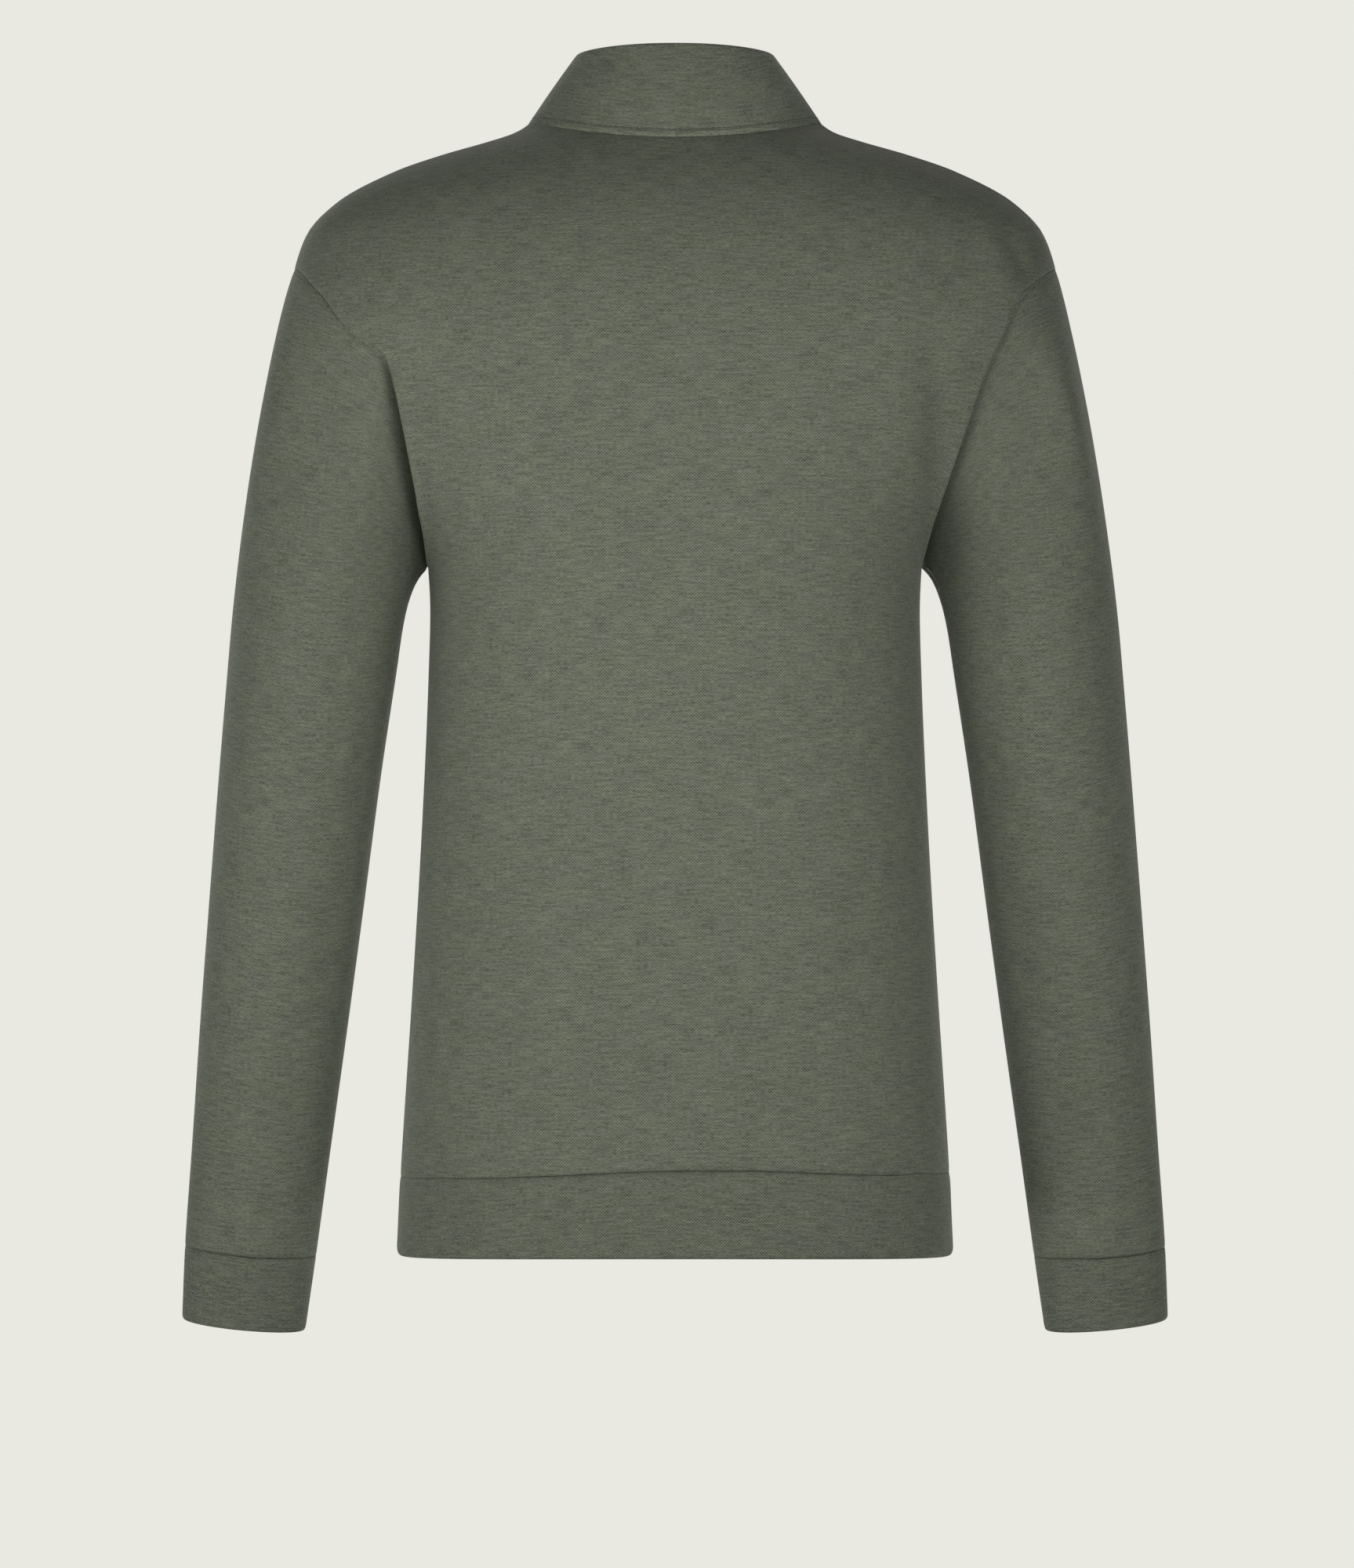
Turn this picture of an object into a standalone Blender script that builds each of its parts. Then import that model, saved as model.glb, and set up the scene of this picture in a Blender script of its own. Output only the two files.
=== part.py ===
"""A stand-collar sweatshirt, filled out as if it were worn, in eight pieces of knit cloth.

+Z is up. The back of the garment faces -Y and its front +Y; +X is the wearer's right.
The origin is the middle of the neck seam. Sizes are in millimetres until the vertices are placed.
Each piece is a closed wall: rows and columns of outside points, and the same points moved inwards.
"""
import math

import bmesh
import bpy
import numpy as np

MM = 0.001

# Walls and seams
CLOTH_THICKNESS = 1.6
DOUBLED_THICKNESS = 2.4
SEAM_GAP = 0.3

# Heights above (+) and below (-) the side of the neck seam
NECK_SIDE_HEIGHT = 2.5
NECK_BACK_HEIGHT = -9.5
NECK_FRONT_HEIGHT = -50.0
SHOULDER_HEIGHT = -88.0
ARMPIT_HEIGHT = -274.0
HEM_SEAM_HEIGHT = -654.0
HEM_SEAM_BACK_RISE = 7.5
HEM_SEAM_FRONT_RISE = 3.0
HEM_EDGE_HEIGHT = -703.0
HEM_EDGE_BACK_RISE = 3.3
HEM_EDGE_FRONT_RISE = 1.5
SLEEVE_TUBE_HEIGHT = -330.0
CUFF_SEAM_HEIGHT = -701.0
CUFF_EDGE_HEIGHT = -748.5

# Neck and collar
NECK_HALF_WIDTH = 92.0
COLLAR_HALF_WIDTH = 60.5
COLLAR_BACK_DEPTH = 50.0
COLLAR_FRONT_DEPTH = 66.0
COLLAR_SIDE_HEIGHT = 47.5
COLLAR_BACK_HEIGHT = 51.0
COLLAR_FRONT_HEIGHT = 10.0
COLLAR_SWELL = 0.4
COLLAR_SQUARENESS = 2.3

# Body rings. Squareness 2 is an ellipse and more is boxier. Between shoulder and armpit
# the half width reaches on into the sleeve, past the armhole that cuts the panels off.
# height, half width, back depth, front depth, squareness
BODY_RINGS = (
    (2.5, 92.0, 66.0, 60.0, 2.10),
    (-2.5, 99.5, 69.5, 62.5, 2.12),
    (-8.5, 117.5, 75.0, 66.0, 2.14),
    (-17.0, 147.0, 82.5, 71.0, 2.17),
    (-27.0, 175.5, 90.5, 76.5, 2.20),
    (-46.0, 211.0, 103.0, 86.0, 2.25),
    (-66.0, 230.0, 112.5, 95.5, 2.28),
    (-88.0, 237.8, 119.5, 104.5, 2.30),
    (-105.0, 241.8, 123.2, 110.0, 2.30),
    (-120.0, 241.5, 125.4, 114.5, 2.30),
    (-145.0, 227.5, 127.4, 120.5, 2.30),
    (-165.0, 215.0, 128.2, 124.6, 2.30),
    (-190.0, 200.5, 128.6, 128.5, 2.30),
    (-215.0, 184.0, 128.7, 131.0, 2.31),
    (-235.0, 170.5, 128.5, 132.2, 2.32),
    (-250.0, 161.8, 128.2, 132.6, 2.33),
    (-262.0, 156.8, 127.9, 132.7, 2.34),
    (-274.0, 154.0, 127.5, 132.5, 2.35),
    (-300.0, 152.9, 125.5, 131.3, 2.35),
    (-340.0, 153.9, 122.5, 129.0, 2.35),
    (-440.0, 158.3, 117.0, 123.5, 2.30),
    (-540.0, 164.2, 118.5, 121.5, 2.28),
    (-654.0, 171.5, 127.0, 126.5, 2.25),
    (-703.0, 174.0, 130.5, 129.5, 2.25),
)

# Sleeve rings, square to the arm.
# height, middle out from the centre, middle forward, half width, half depth
SLEEVE_RINGS = (
    (-330.0, 226.0, 0.0, 52.8, 64.0),
    (-400.0, 234.2, 2.0, 50.5, 60.0),
    (-480.0, 242.7, 6.5, 48.4, 54.5),
    (-560.0, 251.3, 13.0, 46.1, 47.0),
    (-640.0, 259.8, 20.5, 43.3, 38.5),
    (-700.0, 266.2, 26.5, 41.4, 31.5),
    (-750.0, 271.0, 31.5, 38.9, 27.5),
)

# How far each quarter of the armhole bites into its panel, in degrees round the body ring,
# at a turn of 0 degrees at the shoulder to 180 under the arm.
# turn, bite
FRONT_ARMHOLE = ((0, 0.0), (20, 16.5), (40, 29.3), (60, 38.0), (75, 40.8), (90, 40.0), (105, 35.8),
                 (120, 29.2), (140, 19.0), (160, 9.3), (180, 0.0))
BACK_ARMHOLE_LEFT = ((0, 0.0), (10, 9.5), (24, 18.5), (38, 26.6), (54, 33.2), (70, 40.2), (82, 38.5),
                     (97, 35.2), (114, 29.0), (135, 18.2), (158, 8.5), (180, 0.0))
BACK_ARMHOLE_RIGHT = ((0, 0.0), (10, 9.5), (26, 22.5), (38, 29.6), (52, 33.2), (73, 31.7), (86, 29.8),
                      (98, 27.4), (113, 22.2), (127, 15.5), (148, 7.0), (165, 3.0), (180, 0.0))
ARMHOLES = {
    ("back", -1): BACK_ARMHOLE_LEFT,
    ("back", 1): BACK_ARMHOLE_RIGHT,
    ("front", -1): FRONT_ARMHOLE,
    ("front", 1): FRONT_ARMHOLE,
}

# How the sleeve leaves the armhole under the arm: out from the body, down, and tucked in
# behind the panel's edge at the back and front
UNDERARM_OUT = 0.80
UNDERARM_DOWN = 0.60
SLEEVE_TUCK = 0.35
# How late that takes over, on the way from the shoulder down: 1 is evenly
UNDERARM_DELAY = 1.3
# How far the cap keeps the direction it leaves the armhole in, and that of the arm
CAP_LEAVE = 0.80
CAP_ARRIVE = 0.80

# A wall at a seam is drawn out at most as far as this cosine of the angle asks
SHARPEST_MITRE = 0.45
# Steps to either side for directions, in radians round a seam and in height
SEAM_STEP = 0.03
NECK_STEP = 0.02
ARM_STEP = 4.0
# A place this far below the neck seam tells the body's side of it
BELOW_NECK = 60.0

# Mesh divisions
ARMHOLE_ROWS = 18
SIDE_ROWS = 14
NECK_COLUMNS = 7
SHOULDER_COLUMNS = 7
HALF_COLUMNS = NECK_COLUMNS + SHOULDER_COLUMNS
CAP_ROWS = 9
TUBE_ROWS = 13
CUFF_ROWS = 3
HEM_ROWS = 3
COLLAR_ROWS = 5

# Colours of the knit, red, green, blue and opacity
FLEECE = (0.135, 0.148, 0.112, 1.0)
TRIM = (0.115, 0.127, 0.095, 1.0)
KNIT_ROUGHNESS = 0.95


def smooth(at, knots, values):
    """Read a table as a smooth curve that never overshoots its knots."""
    order = np.argsort(knots)
    knots = np.asarray(knots, float)[order]
    values = np.asarray(values, float)[order]
    step = np.diff(knots)
    rise = np.diff(values) / step
    slope = np.zeros(len(knots))
    before, after = rise[:-1], rise[1:]
    same = before * after > 0
    slope[1:-1][same] = (2 * before * after)[same] / (before + after)[same]
    slope[0], slope[-1] = rise[0], rise[-1]
    at = np.asarray(at, float)
    cell = np.clip(np.searchsorted(knots, at) - 1, 0, len(step) - 1)
    t = (at - knots[cell]) / step[cell]
    start, end = values[cell], values[cell + 1]
    pull_start, pull_end = slope[cell] * step[cell], slope[cell + 1] * step[cell]
    curve = (2 * t**3 - 3 * t**2 + 1) * start + (t**3 - 2 * t**2 + t) * pull_start
    return curve + (3 * t**2 - 2 * t**3) * end + (t**3 - t**2) * pull_end


def unit(vectors):
    """Vectors of the same direction and length 1."""
    return vectors / np.maximum(np.linalg.norm(vectors, axis=-1, keepdims=True), 1e-9)


def dot(first, second):
    """Dot products, kept as a last axis of one."""
    return np.sum(first * second, axis=-1, keepdims=True)


def stack(x, y, z):
    """Points from their coordinates."""
    return np.stack(np.broadcast_arrays(x, y, z), axis=-1).astype(float)


def body_ring(height, face):
    """Half width, depth and squareness of the body at a height, for the back or front face."""
    table = np.array(BODY_RINGS)
    depth = table[:, 2 if face == "back" else 3]
    half_width = smooth(height, table[:, 0], table[:, 1])
    return half_width, smooth(height, table[:, 0], depth), smooth(height, table[:, 0], table[:, 4])


def body_point(angle, height, face):
    """A point of the body: the angle is 0 at the middle of the face, and 90 degrees at a side."""
    half_width, depth, square = body_ring(height, face)
    across, ahead = np.sin(angle), np.abs(np.cos(angle))
    toward = -1 if face == "back" else 1
    x = half_width * np.sign(across) * np.abs(across) ** (2 / square)
    return stack(x, toward * depth * ahead ** (2 / square), height)


def body_angle(x, height, face):
    """The angle at which the body's ring at a height reaches x."""
    half_width, _, square = body_ring(height, face)
    share = np.clip(np.abs(x) / half_width, 0, 1) ** (square / 2)
    return np.sign(x) * np.arcsin(share)


def body_normal(points, face):
    """The way out of the body at points of its face."""
    x, y, height = points[..., 0], points[..., 1], points[..., 2]
    half_width, depth, square = body_ring(height, face)
    above = body_ring(height + 0.5, face)
    below = body_ring(height - 0.5, face)
    across = (np.abs(x) / half_width) ** (square - 1)
    ahead = (np.abs(y) / depth) ** (square - 1)
    widening = (above[0] - below[0]) * across * np.abs(x) / half_width**2
    deepening = (above[1] - below[1]) * ahead * np.abs(y) / depth**2
    out_x = np.sign(x) * across / half_width
    out_y = np.sign(y) * ahead / depth
    return unit(stack(out_x, out_y, -widening - deepening))


def ring_length(height, face):
    """A quarter of the way round the body at a height, near enough to space the columns."""
    half_width, depth, _ = body_ring(height, face)
    return math.pi / 2 * np.sqrt((half_width**2 + depth**2) / 2)


def neck_seam(turn):
    """The neck seam and the body's way out there: 0 is the middle of the back, 90 degrees the right side."""
    across, ahead = np.sin(turn), np.cos(turn)
    middle = np.where(ahead > 0, NECK_BACK_HEIGHT, NECK_FRONT_HEIGHT)
    height = NECK_SIDE_HEIGHT + (middle - NECK_SIDE_HEIGHT) * ahead**2
    x = NECK_HALF_WIDTH * across
    angle = {face: body_angle(x, height, face) for face in ("back", "front")}
    at_back = (ahead > 0)[..., None]
    point = np.where(at_back, body_point(angle["back"], height, "back"),
                     body_point(angle["front"], height, "front"))
    way_out = np.where(at_back, body_normal(point, "back"), body_normal(point, "front"))
    return point, way_out


def collar_edge(turn):
    """The top edge of the collar, at the same turn as the neck seam."""
    across, ahead = np.sin(turn), np.cos(turn)
    at_back = ahead > 0
    middle = np.where(at_back, COLLAR_BACK_HEIGHT, COLLAR_FRONT_HEIGHT)
    depth = np.where(at_back, COLLAR_BACK_DEPTH, COLLAR_FRONT_DEPTH)
    height = COLLAR_SIDE_HEIGHT + (middle - COLLAR_SIDE_HEIGHT) * ahead**2
    x = COLLAR_HALF_WIDTH * np.sign(across) * np.abs(across) ** (2 / COLLAR_SQUARENESS)
    return stack(x, -depth * np.sign(ahead) * np.abs(ahead) ** (2 / COLLAR_SQUARENESS), height)


def neck_frame(turn):
    """Neck seam: points, along it, and the ways out of the body, of the collar and between them."""
    point, body_out = neck_seam(turn)
    along = unit(neck_seam(turn + NECK_STEP)[0] - neck_seam(turn - NECK_STEP)[0])
    collar_out = unit(np.cross(along, collar_edge(turn) - point))
    return point, along, body_out, collar_out, unit(body_out + collar_out)


def armhole_points(turn, side):
    """The armhole: 0 at the shoulder, 90 degrees at the back, 180 under the arm, 270 at the front."""
    middle = (SHOULDER_HEIGHT + ARMPIT_HEIGHT) / 2
    height = middle + (SHOULDER_HEIGHT - middle) * np.cos(turn)
    quarter = np.degrees(np.arccos(np.clip(np.cos(turn), -1, 1)))
    points = {}
    for face in ("back", "front"):
        table = np.array(ARMHOLES[(face, side)])
        bite = np.radians(smooth(quarter, table[:, 0], table[:, 1]))
        points[face] = body_point(side * (math.pi / 2 - bite), height, face)
    return np.where((np.sin(turn) >= 0)[..., None], points["back"], points["front"])


def armhole_frame(turn, side):
    """Armhole: points, along it, ways out of body, sleeve and between them, and the sleeve's way on."""
    turn = np.mod(turn, math.tau)
    point = armhole_points(turn, side)
    ahead = armhole_points(np.mod(turn + SEAM_STEP, math.tau), side)
    behind = armhole_points(np.mod(turn - SEAM_STEP, math.tau), side)
    along = unit(ahead - behind)
    at_back = (np.sin(turn) >= 0)[..., None]
    body_out = np.where(at_back, body_normal(point, "back"), body_normal(point, "front"))
    onward = unit(np.cross(body_out, along) * side)
    under = stack(side * UNDERARM_OUT, SLEEVE_TUCK * np.sin(turn), -UNDERARM_DOWN)
    share = ((1 - np.cos(turn)) / 2)[..., None] ** UNDERARM_DELAY
    onward = unit(onward * (1 - share) + under * share)
    onward = unit(onward - along * dot(onward, along))
    sleeve_out = unit(np.cross(along, onward) * side)
    return point, along, body_out, sleeve_out, unit(body_out + sleeve_out), onward


def sleeve_tube(turn, height, side):
    """Points and ways out on the sleeve's rings: 0 is the outer side and 90 degrees the back."""
    table = np.array(SLEEVE_RINGS)

    def middle(level):
        outward = smooth(level, table[:, 0], table[:, 1])
        return stack(side * outward, smooth(level, table[:, 0], table[:, 2]), level)

    down = unit(middle(height - ARM_STEP) - middle(height + ARM_STEP))
    outward = np.array((side, 0.0, 0.0)) * np.ones_like(down)
    outward = unit(outward - down * dot(outward, down))
    backward = unit(np.cross(down, outward) * side)
    backward = backward * np.where(backward[..., 1:2] > 0, -1, 1)
    half_width = smooth(height, table[:, 0], table[:, 3])[..., None]
    half_depth = smooth(height, table[:, 0], table[:, 4])[..., None]
    out, back = np.cos(turn)[..., None], np.sin(turn)[..., None]
    point = middle(height) + outward * half_width * out + backward * half_depth * back
    return point, unit(outward * out / half_width + backward * back / half_depth)


def sleeve_points(turn, row_share, tube_share, side):
    """The sleeve from armhole to cuff seam: the cap rows bend into the tube rows."""
    start, _, _, _, _, onward = armhole_frame(turn, side)
    first, _ = sleeve_tube(turn, np.full_like(turn, SLEEVE_TUBE_HEIGHT), side)
    below, _ = sleeve_tube(turn, np.full_like(turn, SLEEVE_TUBE_HEIGHT - ARM_STEP), side)
    span = np.linalg.norm(first - start, axis=-1, keepdims=True)
    leave = onward * span * CAP_LEAVE
    arrive = unit(below - first) * span * CAP_ARRIVE
    rows = []
    for t in row_share:
        curve = (2 * t**3 - 3 * t**2 + 1) * start + (t**3 - 2 * t**2 + t) * leave
        rows.append(curve + (3 * t**2 - 2 * t**3) * first + (t**3 - t**2) * arrive)
    for t in tube_share:
        height = SLEEVE_TUBE_HEIGHT + (CUFF_SEAM_HEIGHT - SLEEVE_TUBE_HEIGHT) * t
        rows.append(sleeve_tube(turn, np.full_like(turn, height), side)[0])
    return np.array(rows)


def grid_normals(points, closed):
    """Ways out of a grid of points, up to their sign."""
    if closed:
        ring = points[:, :-1]
        across = np.roll(ring, -1, axis=1) - np.roll(ring, 1, axis=1)
        across = np.concatenate([across, across[:, :1]], axis=1)
    else:
        across = np.gradient(points, axis=1)
    return unit(np.cross(across, np.gradient(points, axis=0)))


def pull_in(along, way_out, inward):
    """Half the seam gap, square to the seam and to the wall, on the side that inward points to."""
    sideways = unit(np.cross(way_out, along))
    return sideways * np.sign(dot(sideways, inward)) * SEAM_GAP / 2


def seam_wall(way_between, way_own, thickness):
    """The wall at a seam, along the way shared by both pieces and long enough to keep its thickness."""
    return -way_between * thickness / np.maximum(dot(way_between, way_own), SHARPEST_MITRE)


def hem_seam(angle, face):
    """Points of the seam above the hem band."""
    rise = HEM_SEAM_BACK_RISE if face == "back" else HEM_SEAM_FRONT_RISE
    return body_point(angle, HEM_SEAM_HEIGHT + rise * np.cos(angle) ** 2, face)


def hem_edge(angle, face):
    """Points of the hem band's lower edge."""
    rise = HEM_EDGE_BACK_RISE if face == "back" else HEM_EDGE_FRONT_RISE
    return body_point(angle, HEM_EDGE_HEIGHT + rise * np.cos(angle) ** 2, face)


def panel_half(face, side):
    """Angle and height of half a panel, in rows from hem to shoulder and columns from middle to side."""
    rows = SIDE_ROWS + ARMHOLE_ROWS
    bottom_angle = side * math.pi / 2 * np.linspace(0, 1, HALF_COLUMNS + 1)
    bottom_height = hem_seam(bottom_angle, face)[..., 2]

    neck_turn = math.pi / 2 * np.linspace(0, 1, NECK_COLUMNS + 1)
    if face == "front":
        neck_turn = math.pi - neck_turn
    neck = neck_seam(side * neck_turn)[0]
    table = np.array(BODY_RINGS)
    shoulders = table[table[:, 0] >= SHOULDER_HEIGHT]
    shoulder_x = np.linspace(NECK_HALF_WIDTH, shoulders[-1, 1], SHOULDER_COLUMNS + 1)[1:]
    ridge = smooth(shoulder_x, shoulders[:, 1], shoulders[:, 0])
    ridge[-1] = SHOULDER_HEIGHT
    top_height = np.concatenate([neck[:, 2], ridge])
    neck_angle = body_angle(neck[:, 0], neck[:, 2], face)
    neck_angle[-1] = side * math.pi / 2
    top_angle = np.concatenate([neck_angle, np.full(SHOULDER_COLUMNS, side * math.pi / 2)])

    side_height = np.linspace(HEM_SEAM_HEIGHT, ARMPIT_HEIGHT, SIDE_ROWS + 1)
    turn = math.pi * np.linspace(1, 0, ARMHOLE_ROWS + 1)[1:]
    armhole = armhole_points(turn if face == "back" else math.tau - turn - 1e-9, side)
    edge_height = np.concatenate([side_height, armhole[:, 2]])
    armhole_angle = body_angle(armhole[:, 0], armhole[:, 2], face)
    armhole_angle[-1] = side * math.pi / 2
    edge_angle = np.concatenate([np.full(SIDE_ROWS + 1, side * math.pi / 2), armhole_angle])

    lower = np.linspace(bottom_height[0], ARMPIT_HEIGHT, SIDE_ROWS + 1)
    upper = np.linspace(ARMPIT_HEIGHT, top_height[0], ARMHOLE_ROWS + 1)[1:]
    middle_height = np.concatenate([lower, upper])

    def flat(angle, height):
        return np.stack([angle / (math.pi / 2) * ring_length(height, face), height], axis=-1)

    bottom = flat(bottom_angle, bottom_height)[None, :]
    top = flat(top_angle, top_height)[None, :]
    inner = flat(np.zeros(rows + 1), middle_height)[:, None]
    outer = flat(edge_angle, edge_height)[:, None]
    u = np.linspace(0, 1, HALF_COLUMNS + 1)[None, :, None]
    row = np.arange(rows + 1)[:, None, None]
    v = np.clip((row - SIDE_ROWS) / ARMHOLE_ROWS, 0, 1) ** 2
    straight_top = (1 - u) * top[:, :1] + u * top[:, -1:]
    straight_bottom = (1 - u) * bottom[:, :1] + u * bottom[:, -1:]
    low = np.clip(1 - row / SIDE_ROWS, 0, 1)
    sheet = (1 - u) * inner + u * outer + low * (bottom - straight_bottom) + v * (top - straight_top)
    angle = sheet[..., 0] / ring_length(sheet[..., 1], face) * math.pi / 2
    angle = np.clip(angle, -math.pi / 2, math.pi / 2)
    angle[-1, :], angle[:, -1], angle[0, :] = top_angle, edge_angle, bottom_angle
    return angle, sheet[..., 1]


def panel(face):
    """Outside points and wall of the back or front panel, from the left side to the right."""
    left_angle, left_height = panel_half(face, -1)
    right_angle, right_height = panel_half(face, 1)
    angle = np.concatenate([left_angle[:, ::-1], right_angle[:, 1:]], axis=1)
    height = np.concatenate([left_height[:, ::-1], right_height[:, 1:]], axis=1)
    points = body_point(angle, height, face)
    way_out = body_normal(points, face)
    wall = -way_out * CLOTH_THICKNESS
    shift = np.zeros_like(points)
    toward = np.array((0.0, -1.0 if face == "back" else 1.0, 0.0)) * SEAM_GAP / 2

    # Side and shoulder seams lie in the middle plane, so their pieces part along Y.
    shift[: SIDE_ROWS + 1, [0, -1]] += toward
    shift[-1, : SHOULDER_COLUMNS + 1] += toward
    shift[-1, -SHOULDER_COLUMNS - 1:] += toward

    hem_along = unit(np.gradient(points[0], axis=0))
    shift[0] += pull_in(hem_along, way_out[0], np.array((0.0, 0.0, 1.0)))

    for side, column, inner in ((-1, 0, 1), (1, -1, -2)):
        turn = math.pi * np.linspace(1, 0, ARMHOLE_ROWS + 1)
        turn = turn if face == "back" else math.tau - turn - 1e-9
        at, along, body_out, _, between, _ = armhole_frame(turn, side)
        points[SIDE_ROWS:, column] = at
        inward = points[SIDE_ROWS:, inner] - points[SIDE_ROWS:, column]
        inward[0] = (0.0, 0.0, -1.0)
        inward[-1] = (-side, 0.0, 0.3)
        shift[SIDE_ROWS:, column] += pull_in(along, between, inward)
        wall[SIDE_ROWS:, column] = seam_wall(between, body_out, CLOTH_THICKNESS)

    columns = np.arange(SHOULDER_COLUMNS, SHOULDER_COLUMNS + 2 * NECK_COLUMNS + 1)
    neck_turn = math.pi / 2 * np.linspace(-1, 1, 2 * NECK_COLUMNS + 1)
    if face == "front":
        neck_turn = math.pi - neck_turn
    at, along, body_out, _, between = neck_frame(neck_turn)
    points[-1, columns] = at
    away = points[-1, columns] - np.array((0.0, 0.0, BELOW_NECK))
    shift[-1, columns] += pull_in(along, between, away)
    wall[-1, columns] = seam_wall(between, body_out, CLOTH_THICKNESS)
    return points + shift, wall


def sleeve(side):
    """Outside points and wall of a sleeve, from armhole to cuff seam."""
    turn = math.tau * np.linspace(0, 1, 2 * ARMHOLE_ROWS + 1)
    caps = np.linspace(0, 1, CAP_ROWS + 1)
    tubes = np.linspace(0, 1, TUBE_ROWS + 1)[1:]
    points = sleeve_points(turn, caps, tubes, side)
    way_out = grid_normals(points, True)
    _, cuff_out = sleeve_tube(turn, np.full_like(turn, CUFF_SEAM_HEIGHT), side)
    way_out = way_out * np.sign(dot(way_out[-1], cuff_out)).mean()
    way_out[-1] = cuff_out
    wall = -way_out * CLOTH_THICKNESS
    shift = np.zeros_like(points)
    _, along, _, sleeve_out, between, onward = armhole_frame(turn, side)
    shift[0] += pull_in(along, between, onward)
    wall[0] = seam_wall(between, sleeve_out, CLOTH_THICKNESS)
    end_along = unit(np.roll(points[-1, :-1], -1, axis=0) - np.roll(points[-1, :-1], 1, axis=0))
    end_along = np.concatenate([end_along, end_along[:1]])
    shift[-1] += pull_in(end_along, cuff_out, np.array((0.0, 0.0, 1.0)))
    return points + shift, wall


def cuff(side):
    """Outside points and wall of a cuff, from its seam to its edge."""
    turn = math.tau * np.linspace(0, 1, 2 * ARMHOLE_ROWS + 1)
    heights = np.linspace(CUFF_SEAM_HEIGHT, CUFF_EDGE_HEIGHT, CUFF_ROWS + 1)
    rings = [sleeve_tube(turn, np.full_like(turn, height), side) for height in heights]
    points = np.array([ring[0] for ring in rings])
    wall = -np.array([ring[1] for ring in rings]) * DOUBLED_THICKNESS
    start_along = unit(np.roll(points[0, :-1], -1, axis=0) - np.roll(points[0, :-1], 1, axis=0))
    start_along = np.concatenate([start_along, start_along[:1]])
    points[0] += pull_in(start_along, rings[0][1], np.array((0.0, 0.0, -1.0)))
    return points, wall


def hem_band():
    """Outside points and wall of the hem band, once round from the left side by the back."""
    half = math.pi / 2 * np.linspace(-1, 1, 2 * HALF_COLUMNS + 1)
    rows = []
    for share in np.linspace(0, 1, HEM_ROWS + 1):
        ring = []
        for face, angle in (("back", half), ("front", half[::-1][1:])):
            upper, lower = hem_seam(angle, face), hem_edge(angle, face)
            height = upper[..., 2] + (lower[..., 2] - upper[..., 2]) * share
            ring.append(body_point(angle, height, face))
        rows.append(np.concatenate(ring))
    points = np.array(rows)
    at_back = (np.arange(points.shape[1]) <= 2 * HALF_COLUMNS)[None, :, None]
    way_out = np.where(at_back, body_normal(points, "back"), body_normal(points, "front"))
    back_along = unit(np.gradient(points[0, : 2 * HALF_COLUMNS + 1], axis=0))
    front_along = unit(np.gradient(points[0, 2 * HALF_COLUMNS:], axis=0))
    along = np.concatenate([back_along, front_along[1:]])
    points[0] += pull_in(along, way_out[0], np.array((0.0, 0.0, -1.0)))
    return points, -way_out * DOUBLED_THICKNESS


def collar():
    """Outside points and wall of the stand collar, from the neck seam to its top edge."""
    half = math.pi / 2 * np.linspace(-1, 1, 2 * NECK_COLUMNS + 1)
    turn = np.concatenate([half, (math.pi + half)[1:]])
    base, along, _, collar_out, between = neck_frame(turn)
    top = collar_edge(turn)
    rows = []
    for share in np.linspace(0, 1, COLLAR_ROWS + 1):
        swell = COLLAR_SWELL * math.sin(math.pi * share)
        rows.append(base + (top - base) * share + collar_out * swell)
    points = np.array(rows)
    wall = -grid_normals(points, True) * DOUBLED_THICKNESS
    wall = wall * np.sign(dot(-wall[2], collar_out)).mean()
    wall[0] = seam_wall(between, collar_out, DOUBLED_THICKNESS)
    points[0] += pull_in(along, between, top - base)
    return points, wall


def add_piece(name, grid, closed, colour):
    """Build one closed piece of cloth with its own material."""
    outside, wall = grid
    rows, columns = outside.shape[:2]
    mesh = bmesh.new()
    bmesh.ops.create_grid(mesh, x_segments=columns - 1, y_segments=rows - 1, size=0.5)
    inward = mesh.verts.layers.float_vector.new("inward")
    for vertex, place, way in zip(mesh.verts, outside.reshape(-1, 3), wall.reshape(-1, 3)):
        vertex.co = place * MM
        vertex[inward] = way * MM
    if closed:
        bmesh.ops.remove_doubles(mesh, verts=mesh.verts[:], dist=1e-6)
    skin = bmesh.ops.extrude_face_region(mesh, geom=mesh.faces[:], use_keep_orig=True)
    for part in skin["geom"]:
        if isinstance(part, bmesh.types.BMVert):
            part.co += part[inward]
    bmesh.ops.recalc_face_normals(mesh, faces=mesh.faces[:])
    bmesh.ops.triangulate(mesh, faces=mesh.faces[:], quad_method="SHORT_EDGE")
    mesh.verts.layers.float_vector.remove(inward)
    data = bpy.data.meshes.new(name)
    mesh.to_mesh(data)
    mesh.free()
    cloth = bpy.data.materials.new(name + "_knit")
    cloth.use_nodes = True
    shader = cloth.node_tree.nodes["Principled BSDF"]
    shader.inputs["Base Color"].default_value = colour
    shader.inputs["Roughness"].default_value = KNIT_ROUGHNESS
    shader.inputs["Metallic"].default_value = 0.0
    data.materials.append(cloth)
    bpy.context.collection.objects.link(bpy.data.objects.new(name, data))


for old in list(bpy.data.objects):
    bpy.data.objects.remove(old)

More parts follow.
